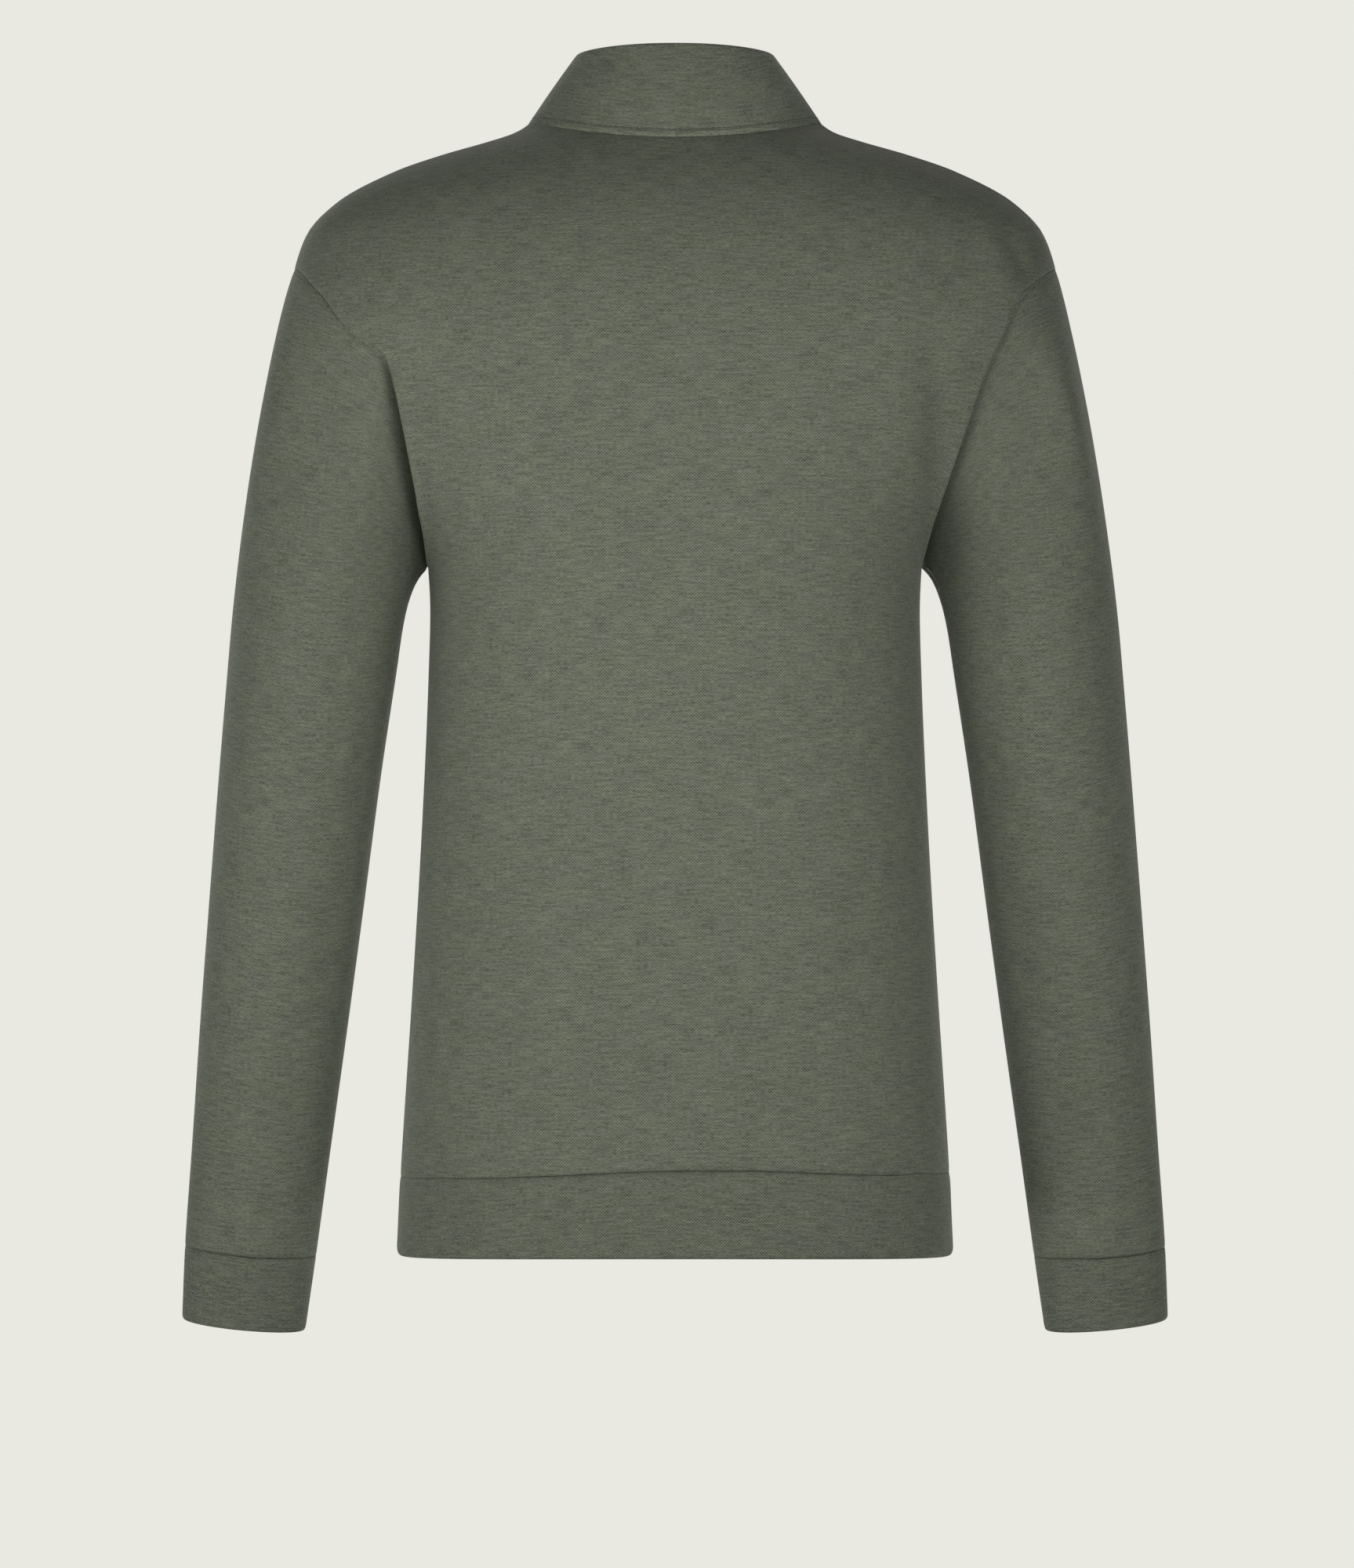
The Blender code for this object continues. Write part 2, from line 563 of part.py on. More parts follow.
add_piece("back_panel", panel("back"), False, FLEECE)
add_piece("front_panel", panel("front"), False, FLEECE)
add_piece("sleeve_left", sleeve(-1), True, FLEECE)
add_piece("sleeve_right", sleeve(1), True, FLEECE)
add_piece("cuff_left", cuff(-1), True, TRIM)
add_piece("cuff_right", cuff(1), True, TRIM)
add_piece("hem_band", hem_band(), True, TRIM)
add_piece("collar", collar(), True, TRIM)
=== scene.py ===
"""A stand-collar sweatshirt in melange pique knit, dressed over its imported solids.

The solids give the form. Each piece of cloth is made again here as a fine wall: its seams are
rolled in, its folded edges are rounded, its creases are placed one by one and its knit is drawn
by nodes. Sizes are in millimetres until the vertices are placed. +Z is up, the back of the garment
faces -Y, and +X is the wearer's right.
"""

import math

import bmesh
import bpy
import numpy as np
from mathutils import Matrix, Vector


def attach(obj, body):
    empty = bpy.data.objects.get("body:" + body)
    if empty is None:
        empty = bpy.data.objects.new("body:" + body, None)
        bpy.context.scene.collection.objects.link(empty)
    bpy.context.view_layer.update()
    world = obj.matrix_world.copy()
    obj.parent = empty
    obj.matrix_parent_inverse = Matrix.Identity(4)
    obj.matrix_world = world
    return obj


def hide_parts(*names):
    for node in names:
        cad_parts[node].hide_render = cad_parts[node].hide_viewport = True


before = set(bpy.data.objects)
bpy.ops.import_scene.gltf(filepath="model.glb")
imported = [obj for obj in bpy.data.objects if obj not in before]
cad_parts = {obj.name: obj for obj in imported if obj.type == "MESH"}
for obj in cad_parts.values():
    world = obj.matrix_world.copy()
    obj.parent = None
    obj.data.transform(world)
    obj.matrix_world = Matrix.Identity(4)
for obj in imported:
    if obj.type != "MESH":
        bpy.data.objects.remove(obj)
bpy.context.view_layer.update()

bl_info = {
    "name": "Stand-collar sweatshirt",
    "version": (1, 0, 0),
    "blender": (4, 5, 0),
    "location": "3D View > Sidebar > Sweatshirt",
    "description": "Builds a long-sleeved sweatshirt of melange pique knit and its studio",
    "category": "Object",
}

MM = 0.001
TAU = 2 * math.pi
FACES = ("back", "front")
UP = np.array((0.0, 0.0, 1.0))
# A vector shorter than this has no direction
NO_LENGTH = 1e-9

# ---------------------------------------------------------------- form, as in the solids
# Heights above (+) and below (-) the side of the neck seam
NECK_SIDE_HEIGHT = 2.5
NECK_BACK_HEIGHT = -9.5
NECK_FRONT_HEIGHT = -50.0
SHOULDER_HEIGHT = -88.0
ARMPIT_HEIGHT = -274.0
HEM_SEAM_HEIGHT = -654.0
HEM_EDGE_HEIGHT = -703.0
SLEEVE_TUBE_HEIGHT = -330.0
CUFF_SEAM_HEIGHT = -701.0
CUFF_EDGE_HEIGHT = -748.5
# How much higher the hem band's seam and edge are at the middle of a face than at the sides
HEM_SEAM_RISE = {"back": 7.5, "front": 3.0}
HEM_EDGE_RISE = {"back": 3.3, "front": 1.5}

# Neck and collar
NECK_HALF_WIDTH = 92.0
COLLAR_HALF_WIDTH = 60.5
COLLAR_BACK_DEPTH = 50.0
COLLAR_FRONT_DEPTH = 66.0
COLLAR_SIDE_HEIGHT = 47.5
COLLAR_BACK_HEIGHT = 51.0
COLLAR_FRONT_HEIGHT = 10.0
COLLAR_SWELL = 0.4
COLLAR_SQUARENESS = 2.3

# Body rings. Squareness 2 is an ellipse and more is boxier.
# height, half width, back depth, front depth, squareness
BODY_RINGS = (
    (2.5, 92.0, 66.0, 60.0, 2.10),
    (-2.5, 99.5, 69.5, 62.5, 2.12),
    (-8.5, 117.5, 75.0, 66.0, 2.14),
    (-17.0, 147.0, 82.5, 71.0, 2.17),
    (-27.0, 175.5, 90.5, 76.5, 2.20),
    (-46.0, 211.0, 103.0, 86.0, 2.25),
    (-66.0, 230.0, 112.5, 95.5, 2.28),
    (-88.0, 237.8, 119.5, 104.5, 2.30),
    (-105.0, 241.8, 123.2, 110.0, 2.30),
    (-120.0, 241.5, 125.4, 114.5, 2.30),
    (-145.0, 227.5, 127.4, 120.5, 2.30),
    (-165.0, 215.0, 128.2, 124.6, 2.30),
    (-190.0, 200.5, 128.6, 128.5, 2.30),
    (-215.0, 184.0, 128.7, 131.0, 2.31),
    (-235.0, 170.5, 128.5, 132.2, 2.32),
    (-250.0, 161.8, 128.2, 132.6, 2.33),
    (-262.0, 156.8, 127.9, 132.7, 2.34),
    (-274.0, 154.0, 127.5, 132.5, 2.35),
    (-300.0, 152.9, 125.5, 131.3, 2.35),
    (-340.0, 153.9, 122.5, 129.0, 2.35),
    (-440.0, 158.3, 117.0, 123.5, 2.30),
    (-540.0, 164.2, 118.5, 121.5, 2.28),
    (-654.0, 171.5, 127.0, 126.5, 2.25),
    (-703.0, 174.0, 130.5, 129.5, 2.25),
)
SHOULDER_RIDGE_ROWS = 8
# Where the shoulders start, below their outer point
SHOULDER_START = 32.0

# Sleeve rings, square to the arm.
# height, middle out from the centre, middle forward, half width, half depth
SLEEVE_RINGS = (
    (-330.0, 226.0, 0.0, 52.8, 64.0),
    (-400.0, 234.2, 2.0, 50.5, 60.0),
    (-480.0, 242.7, 6.5, 48.4, 54.5),
    (-560.0, 251.3, 13.0, 46.1, 47.0),
    (-640.0, 259.8, 20.5, 43.3, 38.5),
    (-700.0, 266.2, 26.5, 41.4, 31.5),
    (-750.0, 271.0, 31.5, 38.9, 27.5),
)

# How far each quarter of the armhole bites into its panel, in degrees round the body ring,
# at a turn of 0 degrees at the shoulder to 180 under the arm.
# turn, bite
FRONT_ARMHOLE = ((0, 0.0), (20, 16.5), (40, 29.3), (60, 38.0), (75, 40.8), (90, 40.0), (105, 35.8),
                 (120, 29.2), (140, 19.0), (160, 9.3), (180, 0.0))
BACK_ARMHOLE_LEFT = ((0, 0.0), (10, 9.5), (24, 18.5), (38, 26.6), (54, 33.2), (70, 40.2),
                     (82, 38.5), (97, 35.2), (114, 29.0), (135, 18.2), (158, 8.5), (180, 0.0))
BACK_ARMHOLE_RIGHT = ((0, 0.0), (10, 9.5), (26, 22.5), (38, 29.6), (52, 33.2), (73, 31.7),
                      (86, 29.8), (98, 27.4), (113, 22.2), (127, 15.5), (148, 7.0), (165, 3.0),
                      (180, 0.0))
ARMHOLES = {
    ("back", -1): BACK_ARMHOLE_LEFT,
    ("back", 1): BACK_ARMHOLE_RIGHT,
    ("front", -1): FRONT_ARMHOLE,
    ("front", 1): FRONT_ARMHOLE,
}

# How the sleeve leaves the armhole under the arm, and how stiffly its cap bends into the arm
UNDERARM_OUT = 0.80
UNDERARM_DOWN = 0.60
SLEEVE_TUCK = 0.35
CAP_LEAVE = 0.80
CAP_ARRIVE = 0.80
# The armhole's corners fade out over this share of the cap. What is left of the armhole's
# shape below them is this many waves round it, taken from so many samples.
CORNER_REACH = 0.4
ARMHOLE_WAVES = 6
ARMHOLE_SAMPLES = 128
# How late on the way down from the shoulder the sleeve turns out under the arm
UNDERARM_DELAY = 1.3
# Steps to either side for directions: along the arm, up the body, round the neck and the armhole
ARM_STEP = 4.0
RING_STEP = 0.5
NECK_STEP = 0.02
ARMHOLE_STEP = 0.03
# Turns of the front stop this far short of the shoulder, where the back starts
SHORT_OF_END = 1e-9
# Steps in which distances over the cloth are added up: round the body, up its middle and over
# the shoulder
ROUND_STEPS = 16
MIDDLE_STEPS = 200
SHOULDER_STEPS = 24

# ---------------------------------------------------------------- cloth laid on the form
# What the fine grids' columns and rows are spaced over
NECK_QUARTER = 98.0
SHOULDER_RUN = 150.0
SIDE_RUN = 380.0
ARMHOLE_RUN = 285.0
SLEEVE_ROUND = 350.0
CAP_RUN = 190.0
TUBE_RUN = 371.0
CUFF_ROUND = 228.0
CUFF_RUN = 47.5
HEM_QUARTER = 244.0
HEM_RUN = 50.0
COLLAR_QUARTER = 116.0
COLLAR_RUN = 60.0
# Share of a half panel's columns that end at the neck. The others end at the shoulder seam.
NECK_COLUMNS = 0.5
# How much finer the bands' and the collar's grids are than the others
BAND_GRID = 0.8
COLLAR_GRID = 0.7
# Rows of the fine grids next to a seam, as distances from it
SEAM_ROWS = (0.0, 0.5, 1.1, 1.8, 2.7, 3.9, 5.4, 7.4)
# Rows of the collar above its seam: over the ridge, through the stitched groove and out of it
RIDGE_ROWS = (0.0, 0.5, 1.1, 1.9, 2.8, 3.7, 4.4, 5.0, 5.6, 6.2, 7.0, 8.2, 9.8)

# How the hem seam wanders up or down round the body.
# degrees from the middle of the face, lift
HEM_WANDER = {
    "back": ((-90, 0.0), (-60, -0.6), (-38, -2.0), (-20, -1.6), (-2, 0.2), (14, 0.7), (34, 0.1),
             (50, 0.6), (60, 2.2), (74, 2.6), (90, 2.4)),
    "front": ((-90, 0.0), (-55, -1.4), (-25, 0.5), (5, -0.7), (30, 0.9), (62, 1.6), (90, 2.4)),
}
# Lift of the cuff seam on its outer side, for the left and the right sleeve
CUFF_SEAM_LIFT = {-1: -1.6, 1: -3.0}

# How far the panel's edge stands proud beside the armhole, how deep the sleeve tucks in under
# it, and how far from it the tuck has mostly gone, at a turn of 0 degrees at the shoulder to
# 180 under the arm.
# turn, height of the panel's roll, depth of the sleeve's tuck, width of the tuck
BACK_ROLL_LEFT = (
    (0, 0.0, 0.4, 3.0), (20, 0.2, 1.4, 2.6), (40, 0.4, 1.4, 3.0), (62, 0.9, 3.4, 3.4),
    (70, 1.5, 10.0, 4.5), (80, 2.0, 17.0, 6.0), (95, 2.3, 25.0, 8.5), (120, 2.5, 36.0, 12.0),
    (145, 2.4, 42.0, 15.0), (160, 1.8, 31.0, 16.0), (172, 0.9, 8.0, 14.0), (180, 0.3, 0.0, 12.0),
)
BACK_ROLL_RIGHT = (
    (0, 0.0, 0.6, 3.0), (16, 0.0, 1.8, 2.6), (30, 0.4, 3.2, 2.8), (42, 0.9, 5.5, 3.0),
    (60, 1.2, 8.0, 3.0), (90, 1.6, 12.0, 3.4), (115, 1.8, 20.0, 5.2), (130, 1.8, 34.0, 10.0),
    (148, 1.7, 54.0, 16.0), (162, 1.1, 42.0, 18.0), (173, 0.6, 10.0, 15.0), (180, 0.3, 0.0, 12.0),
)
FRONT_ROLL = (
    (0, 0.0, 0.3, 4.0), (45, 0.4, 1.0, 4.0), (80, 1.2, 4.0, 4.5), (110, 1.6, 10.0, 6.5),
    (140, 1.7, 17.0, 10.0), (160, 1.2, 11.0, 11.0), (173, 0.6, 2.0, 10.0), (180, 0.3, 0.0, 9.0),
)
ROLLS = {
    ("back", -1): BACK_ROLL_LEFT,
    ("back", 1): BACK_ROLL_RIGHT,
    ("front", -1): FRONT_ROLL,
    ("front", 1): FRONT_ROLL,
}
ROLL_WIDTH = 4.0
# The panel's roll fades out over this distance below the armpit
ROLL_FADE = 30.0
# The tuck drops away within this distance of the seam
TUCK_EDGE = 1.1
# How far the tuck leans in under the panel, and how fast it changes over from front to back
TUCK_UNDER = 0.15
TUCK_TURNOVER = 8.0
# The crack right at a seam: its width as a share of the roll's, and its share of the seam's depth
SEAM_CRACK = 0.25
SEAM_CRACK_SHARE = 0.5
# Share of the seam's depth at the shoulder, and the turn in degrees where it is all there
SHOULDER_SEAM = 0.1
FULL_SEAM_TURN = 46.0
# Share of the seam's depth at the middle of the neck. At the sides there is none of it.
NECK_SEAM = 0.15
# Share of the seam's depth at the shoulder seams and under the arm
SHOULDER_RIDGE_SEAM = 0.13
UNDERARM_SEAM = 0.3
# Share of the seam's depth and gap at the hem band and the cuffs, at a side and at the middle of
# a face
BAND_SIDE_SEAM = 0.13
BAND_FACE_SEAM = 1.0
# Share of the seam's gap at the neck
NECK_GAP = 0.4
# How fast the seam's depth fades towards the sides of the neck
NECK_FADE = 0.7
# A mitred step at a seam is no longer than a plain one divided by this
SHARPEST_MITRE = 0.45
# How much larger the hem band's fold is than the other folds, and how far a fold thins its wall
HEM_FOLD = 1.7
FOLD_THINNING = 0.9
# The way into a panel: at the shoulder point it rises this much for each step inwards, and at the
# neck it points away from a place on the middle line that is this high.
SHOULDER_RISE = 0.3
ABOVE_NECK = 60.0

# How fast a crease tapers towards its ends. Creases fade out over this distance from a seam.
CREASE_TAPER = 1.3
CREASE_CLEAR = 14.0
# Uneven waves along the hem band's seam, and along the ridge above the neck seam, where a
# height is a share of the ridge's.
# height, millimetres to a radian, start in radians
HEM_PUCKERS = ((0.16, 9.0, 0.0), (0.14, 5.3, 1.7), (0.2, 23.0, 0.0))
RIDGE_RUMPLE = ((0.18, 7.3, 0.0), (0.14, 12.1, 2.0), (0.1, 3.9, 0.0))
# How far below its seam the hem band puckers most
HEM_PUCKER_WIDTH = 9.0
# 1 is a ridge as round as a sine wave, and less is fuller
RIDGE_FULLNESS = 0.8
# Depth of the stitched groove as a share of the ridge's height, and its width
GROOVE_DEPTH = 0.75
GROOVE_WIDTH = 0.85
# Places that the line of stitches is measured at, shares of the collar's height for its way out,
# and a step to either side for its direction
STITCH_PLACES = 721
STITCH_ROWS = (0.0, 0.25, 0.5)
STITCH_STEP = 0.5
# Waves of the cuff seam: height, how many go round, and where they start
CUFF_WAVES = (0.35, 3, 0.8)

# Creases of the panels: straight or bowed runs across the face, as it is seen from its own side
# with x towards the wearer's right. Depth is outwards, so a trough is below 0.
# start x, start height, end x, end height, bow, width, depth
BACK_CREASES = (
    (160.0, -112.0, 161.0, -296.0, -4.0, 10.0, -4.2),
    (141.0, -84.0, 148.0, -235.0, 5.0, 9.0, 0.8),
    (186.0, -50.0, 206.0, -122.0, -3.0, 8.0, 2.2),
    (203.0, -62.0, 222.0, -112.0, -2.0, 5.0, -2.4),
    (-118.0, -132.0, -137.0, -262.0, -7.0, 15.0, 1.0),
    (-150.0, -60.0, -96.0, -118.0, 6.0, 16.0, -0.7),
    (-66.0, -18.0, 58.0, -22.0, -3.0, 7.0, -0.5),
    (-132.0, -290.0, -58.0, -350.0, 9.0, 17.0, -0.8),
    (138.0, -300.0, 76.0, -392.0, -10.0, 18.0, -0.9),
    (-120.0, -455.0, 18.0, -486.0, -12.0, 21.0, -0.8),
    (134.0, -500.0, 30.0, -548.0, 9.0, 19.0, 0.7),
    (-38.0, -560.0, -146.0, -610.0, -7.0, 14.0, -0.8),
    (52.0, -652.0, 66.0, -596.0, 3.0, 9.0, -0.6),
    (108.0, -650.0, 116.0, -604.0, -2.0, 8.0, 0.7),
    (-96.0, -651.0, -88.0, -612.0, 2.0, 8.0, -0.6),
)
FRONT_CREASES = (
    (-126.0, -150.0, -62.0, -250.0, 8.0, 14.0, -1.3),
    (128.0, -140.0, 78.0, -262.0, -9.0, 15.0, -1.5),
    (140.0, -168.0, 96.0, -300.0, -7.0, 12.0, 1.0),
    (-138.0, -196.0, -92.0, -310.0, 6.0, 12.0, 1.1),
    (-88.0, -70.0, 62.0, -78.0, -9.0, 14.0, -0.8),
    (-140.0, -372.0, 24.0, -430.0, -13.0, 20.0, -1.0),
    (142.0, -420.0, 8.0, -486.0, 11.0, 19.0, -1.1),
    (-100.0, -520.0, 70.0, -560.0, -9.0, 22.0, 0.9),
    (92.0, -560.0, 150.0, -622.0, 5.0, 14.0, -0.9),
    (-48.0, -652.0, -60.0, -598.0, 2.0, 9.0, -0.7),
    (80.0, -650.0, 70.0, -606.0, -2.0, 8.0, 0.6),
)
# Creases of the sleeves, in degrees round the arm and heights: 0 is the outer side and 90 the
# back, -90 the front and 180 under the arm.
# start turn, start height, end turn, end height, bow, width, depth
SLEEVE_CREASES = {
    -1: (
        (118.0, -300.0, 96.0, -405.0, 4.0, 10.0, -1.1),
        (134.0, -330.0, 122.0, -452.0, 3.0, 9.0, 0.9),
        (60.0, -420.0, 112.0, -468.0, 5.0, 13.0, -0.7),
        (30.0, -560.0, 88.0, -598.0, -4.0, 12.0, -0.6),
        (128.0, -546.0, 70.0, -572.0, 4.0, 11.0, 0.6),
        (104.0, -640.0, 60.0, -676.0, 3.0, 9.0, -0.5),
        (-150.0, -330.0, -84.0, -398.0, -6.0, 12.0, -1.8),
        (-162.0, -372.0, -70.0, -446.0, -8.0, 13.0, 1.7),
        (-156.0, -424.0, -60.0, -484.0, -7.0, 12.0, -1.9),
        (-140.0, -476.0, -48.0, -530.0, -6.0, 12.0, 1.3),
        (-128.0, -536.0, -30.0, -580.0, 5.0, 11.0, -1.1),
        (-110.0, -626.0, -40.0, -662.0, 4.0, 10.0, -0.9),
    ),
    1: (
        (116.0, -312.0, 84.0, -410.0, -4.0, 11.0, -0.9),
        (140.0, -350.0, 104.0, -440.0, 4.0, 10.0, 0.8),
        (136.0, -560.0, 66.0, -604.0, 5.0, 9.0, -0.8),
        (132.0, -584.0, 74.0, -634.0, 4.0, 7.0, 0.7),
        (120.0, -618.0, 58.0, -660.0, 3.0, 8.0, -0.7),
        (24.0, -470.0, 92.0, -512.0, -4.0, 13.0, -0.5),
        (-154.0, -340.0, -76.0, -410.0, -7.0, 13.0, -1.9),
        (-160.0, -396.0, -64.0, -462.0, -7.0, 12.0, 1.8),
        (-148.0, -444.0, -52.0, -508.0, -8.0, 12.0, -1.7),
        (-134.0, -510.0, -44.0, -552.0, 6.0, 11.0, 1.1),
        (-118.0, -590.0, -36.0, -634.0, 4.0, 11.0, -1.0),
    ),
}
SLEEVE_MM_PER_DEGREE = 0.86
# Creases of the cuffs, the same way
CUFF_CREASES = (
    (60.0, -702.0, 66.0, -728.0, 1.0, 6.0, -0.5),
    (96.0, -703.0, 92.0, -722.0, 1.0, 5.0, -0.5),
    (128.0, -702.0, 136.0, -730.0, 1.0, 6.0, 0.5),
    (-70.0, -702.0, -62.0, -730.0, 1.0, 6.0, -0.6),
    (-118.0, -702.0, -124.0, -726.0, 1.0, 6.0, 0.5),
)
# Creases of the collar, in degrees round the neck from the middle of the back and heights
# above the neck seam.
# start turn, start height, end turn, end height, bow, width, depth
COLLAR_CREASES = (
    (-40.0, 10.0, 30.0, 16.0, 2.0, 6.0, -0.4),
    (-62.0, 8.0, -30.0, 34.0, 2.0, 7.0, -0.5),
    (52.0, 8.0, 74.0, 40.0, -2.0, 8.0, 0.5),
    (126.0, 6.0, 172.0, 26.0, 3.0, 7.0, -0.8),
    (-128.0, 8.0, -160.0, 32.0, -3.0, 7.0, -0.7),
)
COLLAR_MM_PER_DEGREE = 1.35

# ---------------------------------------------------------------- knit and thread
# Noises of the knit: cells a metre across and along it, detail, roughness
LEAN_NOISE = (60.0, 60.0, 2.0, 0.5)
LONG_FLECKS = (80.0, 760.0, 3.0, 0.6)
SHORT_FLECKS = (420.0, 1500.0, 2.0, 0.6)
CLOUDS = (34.0, 60.0, 2.0, 0.5)
PATCHES = (50.0, 85.0, 1.0, 0.5)
# The part of a noise that is spread over all of its effect
LEAN_SPREAD = (0.35, 0.65)
PATCH_SPREAD = (0.38, 0.62)
# Shares of the loops that fall and rise to the right, and how far that leans one way or the other
FALLING_LOOPS = 0.42
RISING_LOOPS = 0.52
LEAN = 0.18
# No place in the knit gets darker than this share of its colour
DARKEST = 0.15
# How far loops and flecks stand out, and how much shinier the loops are
LOOP_RELIEF = 0.6
FLECK_RELIEF = 0.5
KNIT_BUMP = {"Strength": 0.35, "Distance": 0.0003}
KNIT_ROUGHNESS = 0.93
LOOP_SHINE = 0.05
KNIT_SURFACE = {
    "Metallic": 0.0,
    "Specular IOR Level": 0.18,
    "Sheen Weight": 0.22,
    "Sheen Roughness": 0.4,
    "Sheen Tint": (0.80, 0.84, 0.70, 1.0),
}
# Noise that stands for the sewing thread's twist, and how far it changes colour and roughness
THREAD_TWIST = {"Scale": 2400.0, "Detail": 1.0}
THREAD_CONTRAST = 0.5
THREAD_ROUGHNESS = 0.6
THREAD_SHINE = 0.2
BACKDROP_SURFACE = {
    "Base Color": (0.0, 0.0, 0.0, 1.0),
    "Roughness": 1.0,
    "Specular IOR Level": 0.0,
    "Emission Strength": 1.0,
}

# ---------------------------------------------------------------- picture and studio
# Size of the picture in pixels, and the column and row in it where x and z are 0
PICTURE_WIDTH = 1727
PICTURE_HEIGHT = 2000
MIDDLE_COLUMN = 861.0
NECK_ROW = 165.0
# The camera's sensor in millimetres, and how far it sees in metres
SENSOR_WIDTH = 36.0
FARTHEST_SEEN = 60.0
# Share of the dome's radius in which its floor sweeps up, and steps and sides of the dome
SWEEP = 0.4
DOME_STEPS = 12
DOME_SIDES = 72
# Distances under which points are welded, in metres, and the angle from which an edge is sharp
CLOTH_WELD = 1e-6
DOME_WELD = 1e-4
SHARP_ANGLE = 70.0
# Soft square lamps round the point they aim at. Turn is in degrees from the camera towards the
# right of the picture, lift above level, and a mirrored one is made again on the far side.
LAMP_AIM = (0.0, 0.0, -0.38)
# name, turn, lift, distance, size, watts, mirrored
LAMPS = (
    ("side_left", -80.0, -30.0, 3.0, 1.4, 29.0, False),
    ("side_right", 80.0, -8.0, 3.0, 1.4, 6.0, False),
    ("low_right", 38.0, -28.0, 3.0, 1.4, 26.0, True),
    ("front_left", -35.0, 6.0, 1.4, 0.8, 6.9, True),
    ("front", 8.0, 6.0, 1.0, 0.6, 4.3, True),
    ("above", 180.0, 55.0, 2.0, 1.0, 9.0, False),
)


def length(name, description, default, low=0.0, high=20.0):
    """A size in metres that a user can change."""
    return bpy.props.FloatProperty(name=name, description=description, default=default, min=low,
                                   max=high, precision=5, subtype="DISTANCE", unit="LENGTH")


def amount(name, description, default, low=0.0, high=1000.0):
    """A plain number that a user can change."""
    return bpy.props.FloatProperty(name=name, description=description, default=default, min=low,
                                   max=high)


def colour(name, description, default):
    """A linear colour that a user can change."""
    return bpy.props.FloatVectorProperty(name=name, description=description, default=default,
                                         size=3, min=0.0, max=1.0, subtype="COLOR")


class SweatshirtCloth(bpy.types.PropertyGroup):
    """Walls, seams and stitches."""

    cloth_thickness: length("Cloth", "Thickness of the single knit", 0.0016)
    doubled_thickness: length("Doubled cloth", "Thickness of cuffs, hem band and collar", 0.0024)
    seam_gap: length("Seam gap", "Clear space between two pieces at a seam", 0.0003)
    seam_depth: length("Seam depth", "How far the cloth rolls in at a seam", 0.0024)
    seam_width: length("Seam width", "How far from a seam the cloth starts to roll in", 0.0022)
    grid_step: length("Grid step", "Spacing of the fine grids' rows and columns", 0.0036, 0.001)
    fold_height: length("Fold height", "How far up a folded edge is rounded", 0.0034)
    fold_inset: length("Fold inset", "How far a folded edge is rounded in", 0.0016)
    blouse_depth: length("Blouse depth", "How far the panels fall over the hem band", 0.0028)
    blouse_height: length("Blouse height", "Where above the hem band they fall furthest", 0.032)
    ridge_width: length("Ridge width", "From the neck seam to the row of stitches above it", 0.005)
    ridge_height: length("Ridge height", "How far the neck seam's ridge stands out", 0.00045)
    stitch_length: length("Stitch length", "Length of one stitch above the neck seam", 0.0027)
    stitch_pitch: length("Stitch pitch", "From one stitch to the next", 0.0034, 0.001)
    stitch_thickness: length("Stitch thickness", "Thickness of the sewing thread", 0.0005)


class SweatshirtYarn(bpy.types.PropertyGroup):
    """Colours of the yarn and size of the knit."""

    olive: colour("Olive", "Yarn colour in the warm patches", (0.1395, 0.1520, 0.1105))
    slate: colour("Slate", "Yarn colour in the cool patches", (0.1365, 0.1480, 0.1135))
    thread: colour("Thread", "Sewing thread", (0.095, 0.105, 0.080))
    # Painted shade: cuffs and hem band are the panels' own cloth, made darker in colour to stand in
    # for the shade on them
    trim_painted_shade: amount("Trim shade", "Brightness of cuffs and hem band beside the panels", 0.92)
    # Painted light: the collar is the panels' own cloth, made brighter in colour to stand in for
    # the stronger light that falls on it
    collar_painted_light: amount("Collar shade", "Brightness of the collar beside the panels", 1.27)
    knit_pitch: length("Knit pitch", "From one stitch of the knit to the next", 0.0013)
    knit_contrast: amount("Knit contrast", "How far the knit's loops darken and lighten it", 0.47)
    streak_contrast: amount("Streak contrast", "How far the long flecks of the yarn do", 1.02)
    speck_contrast: amount("Speck contrast", "How far its short flecks do", 1.25)
    cloud_contrast: amount("Cloud contrast", "How far uneven dye does", 0.20)


class SweatshirtStudio(bpy.types.PropertyGroup):
    """Camera, lights and floor."""

    camera_distance: length("Camera distance", "From the camera to the middle of the garment", 6.0)
    pixel_size: length("Pixel size", "What one pixel of the picture spans at the garment", 0.00049)
    floor_height: length("Floor height", "Height of the floor below the neck seam", -4.4, -20.0)
    dome_radius: length("Dome radius", "From the garment to the pale wall", 14.0, 1.0, 50.0)
    backdrop: colour("Backdrop", "Colour of floor and wall", (0.8148, 0.8148, 0.7529))
    lamp_power: amount("Lamp power", "Share of the lamps' watts that is used", 0.92)
    air_light: amount("Air light", "Strength of the light from all round", 0.065)


# ---------------------------------------------------------------- curves and grids
def bend(share, start, leave, end, arrive):
    """A curve at shares of its run, from its ends and the ways on at them."""
    square, cube = share**2, share**3
    curve = (2 * cube - 3 * square + 1) * start + (cube - 2 * square + share) * leave
    return curve + (3 * square - 2 * cube) * end + (cube - square) * arrive


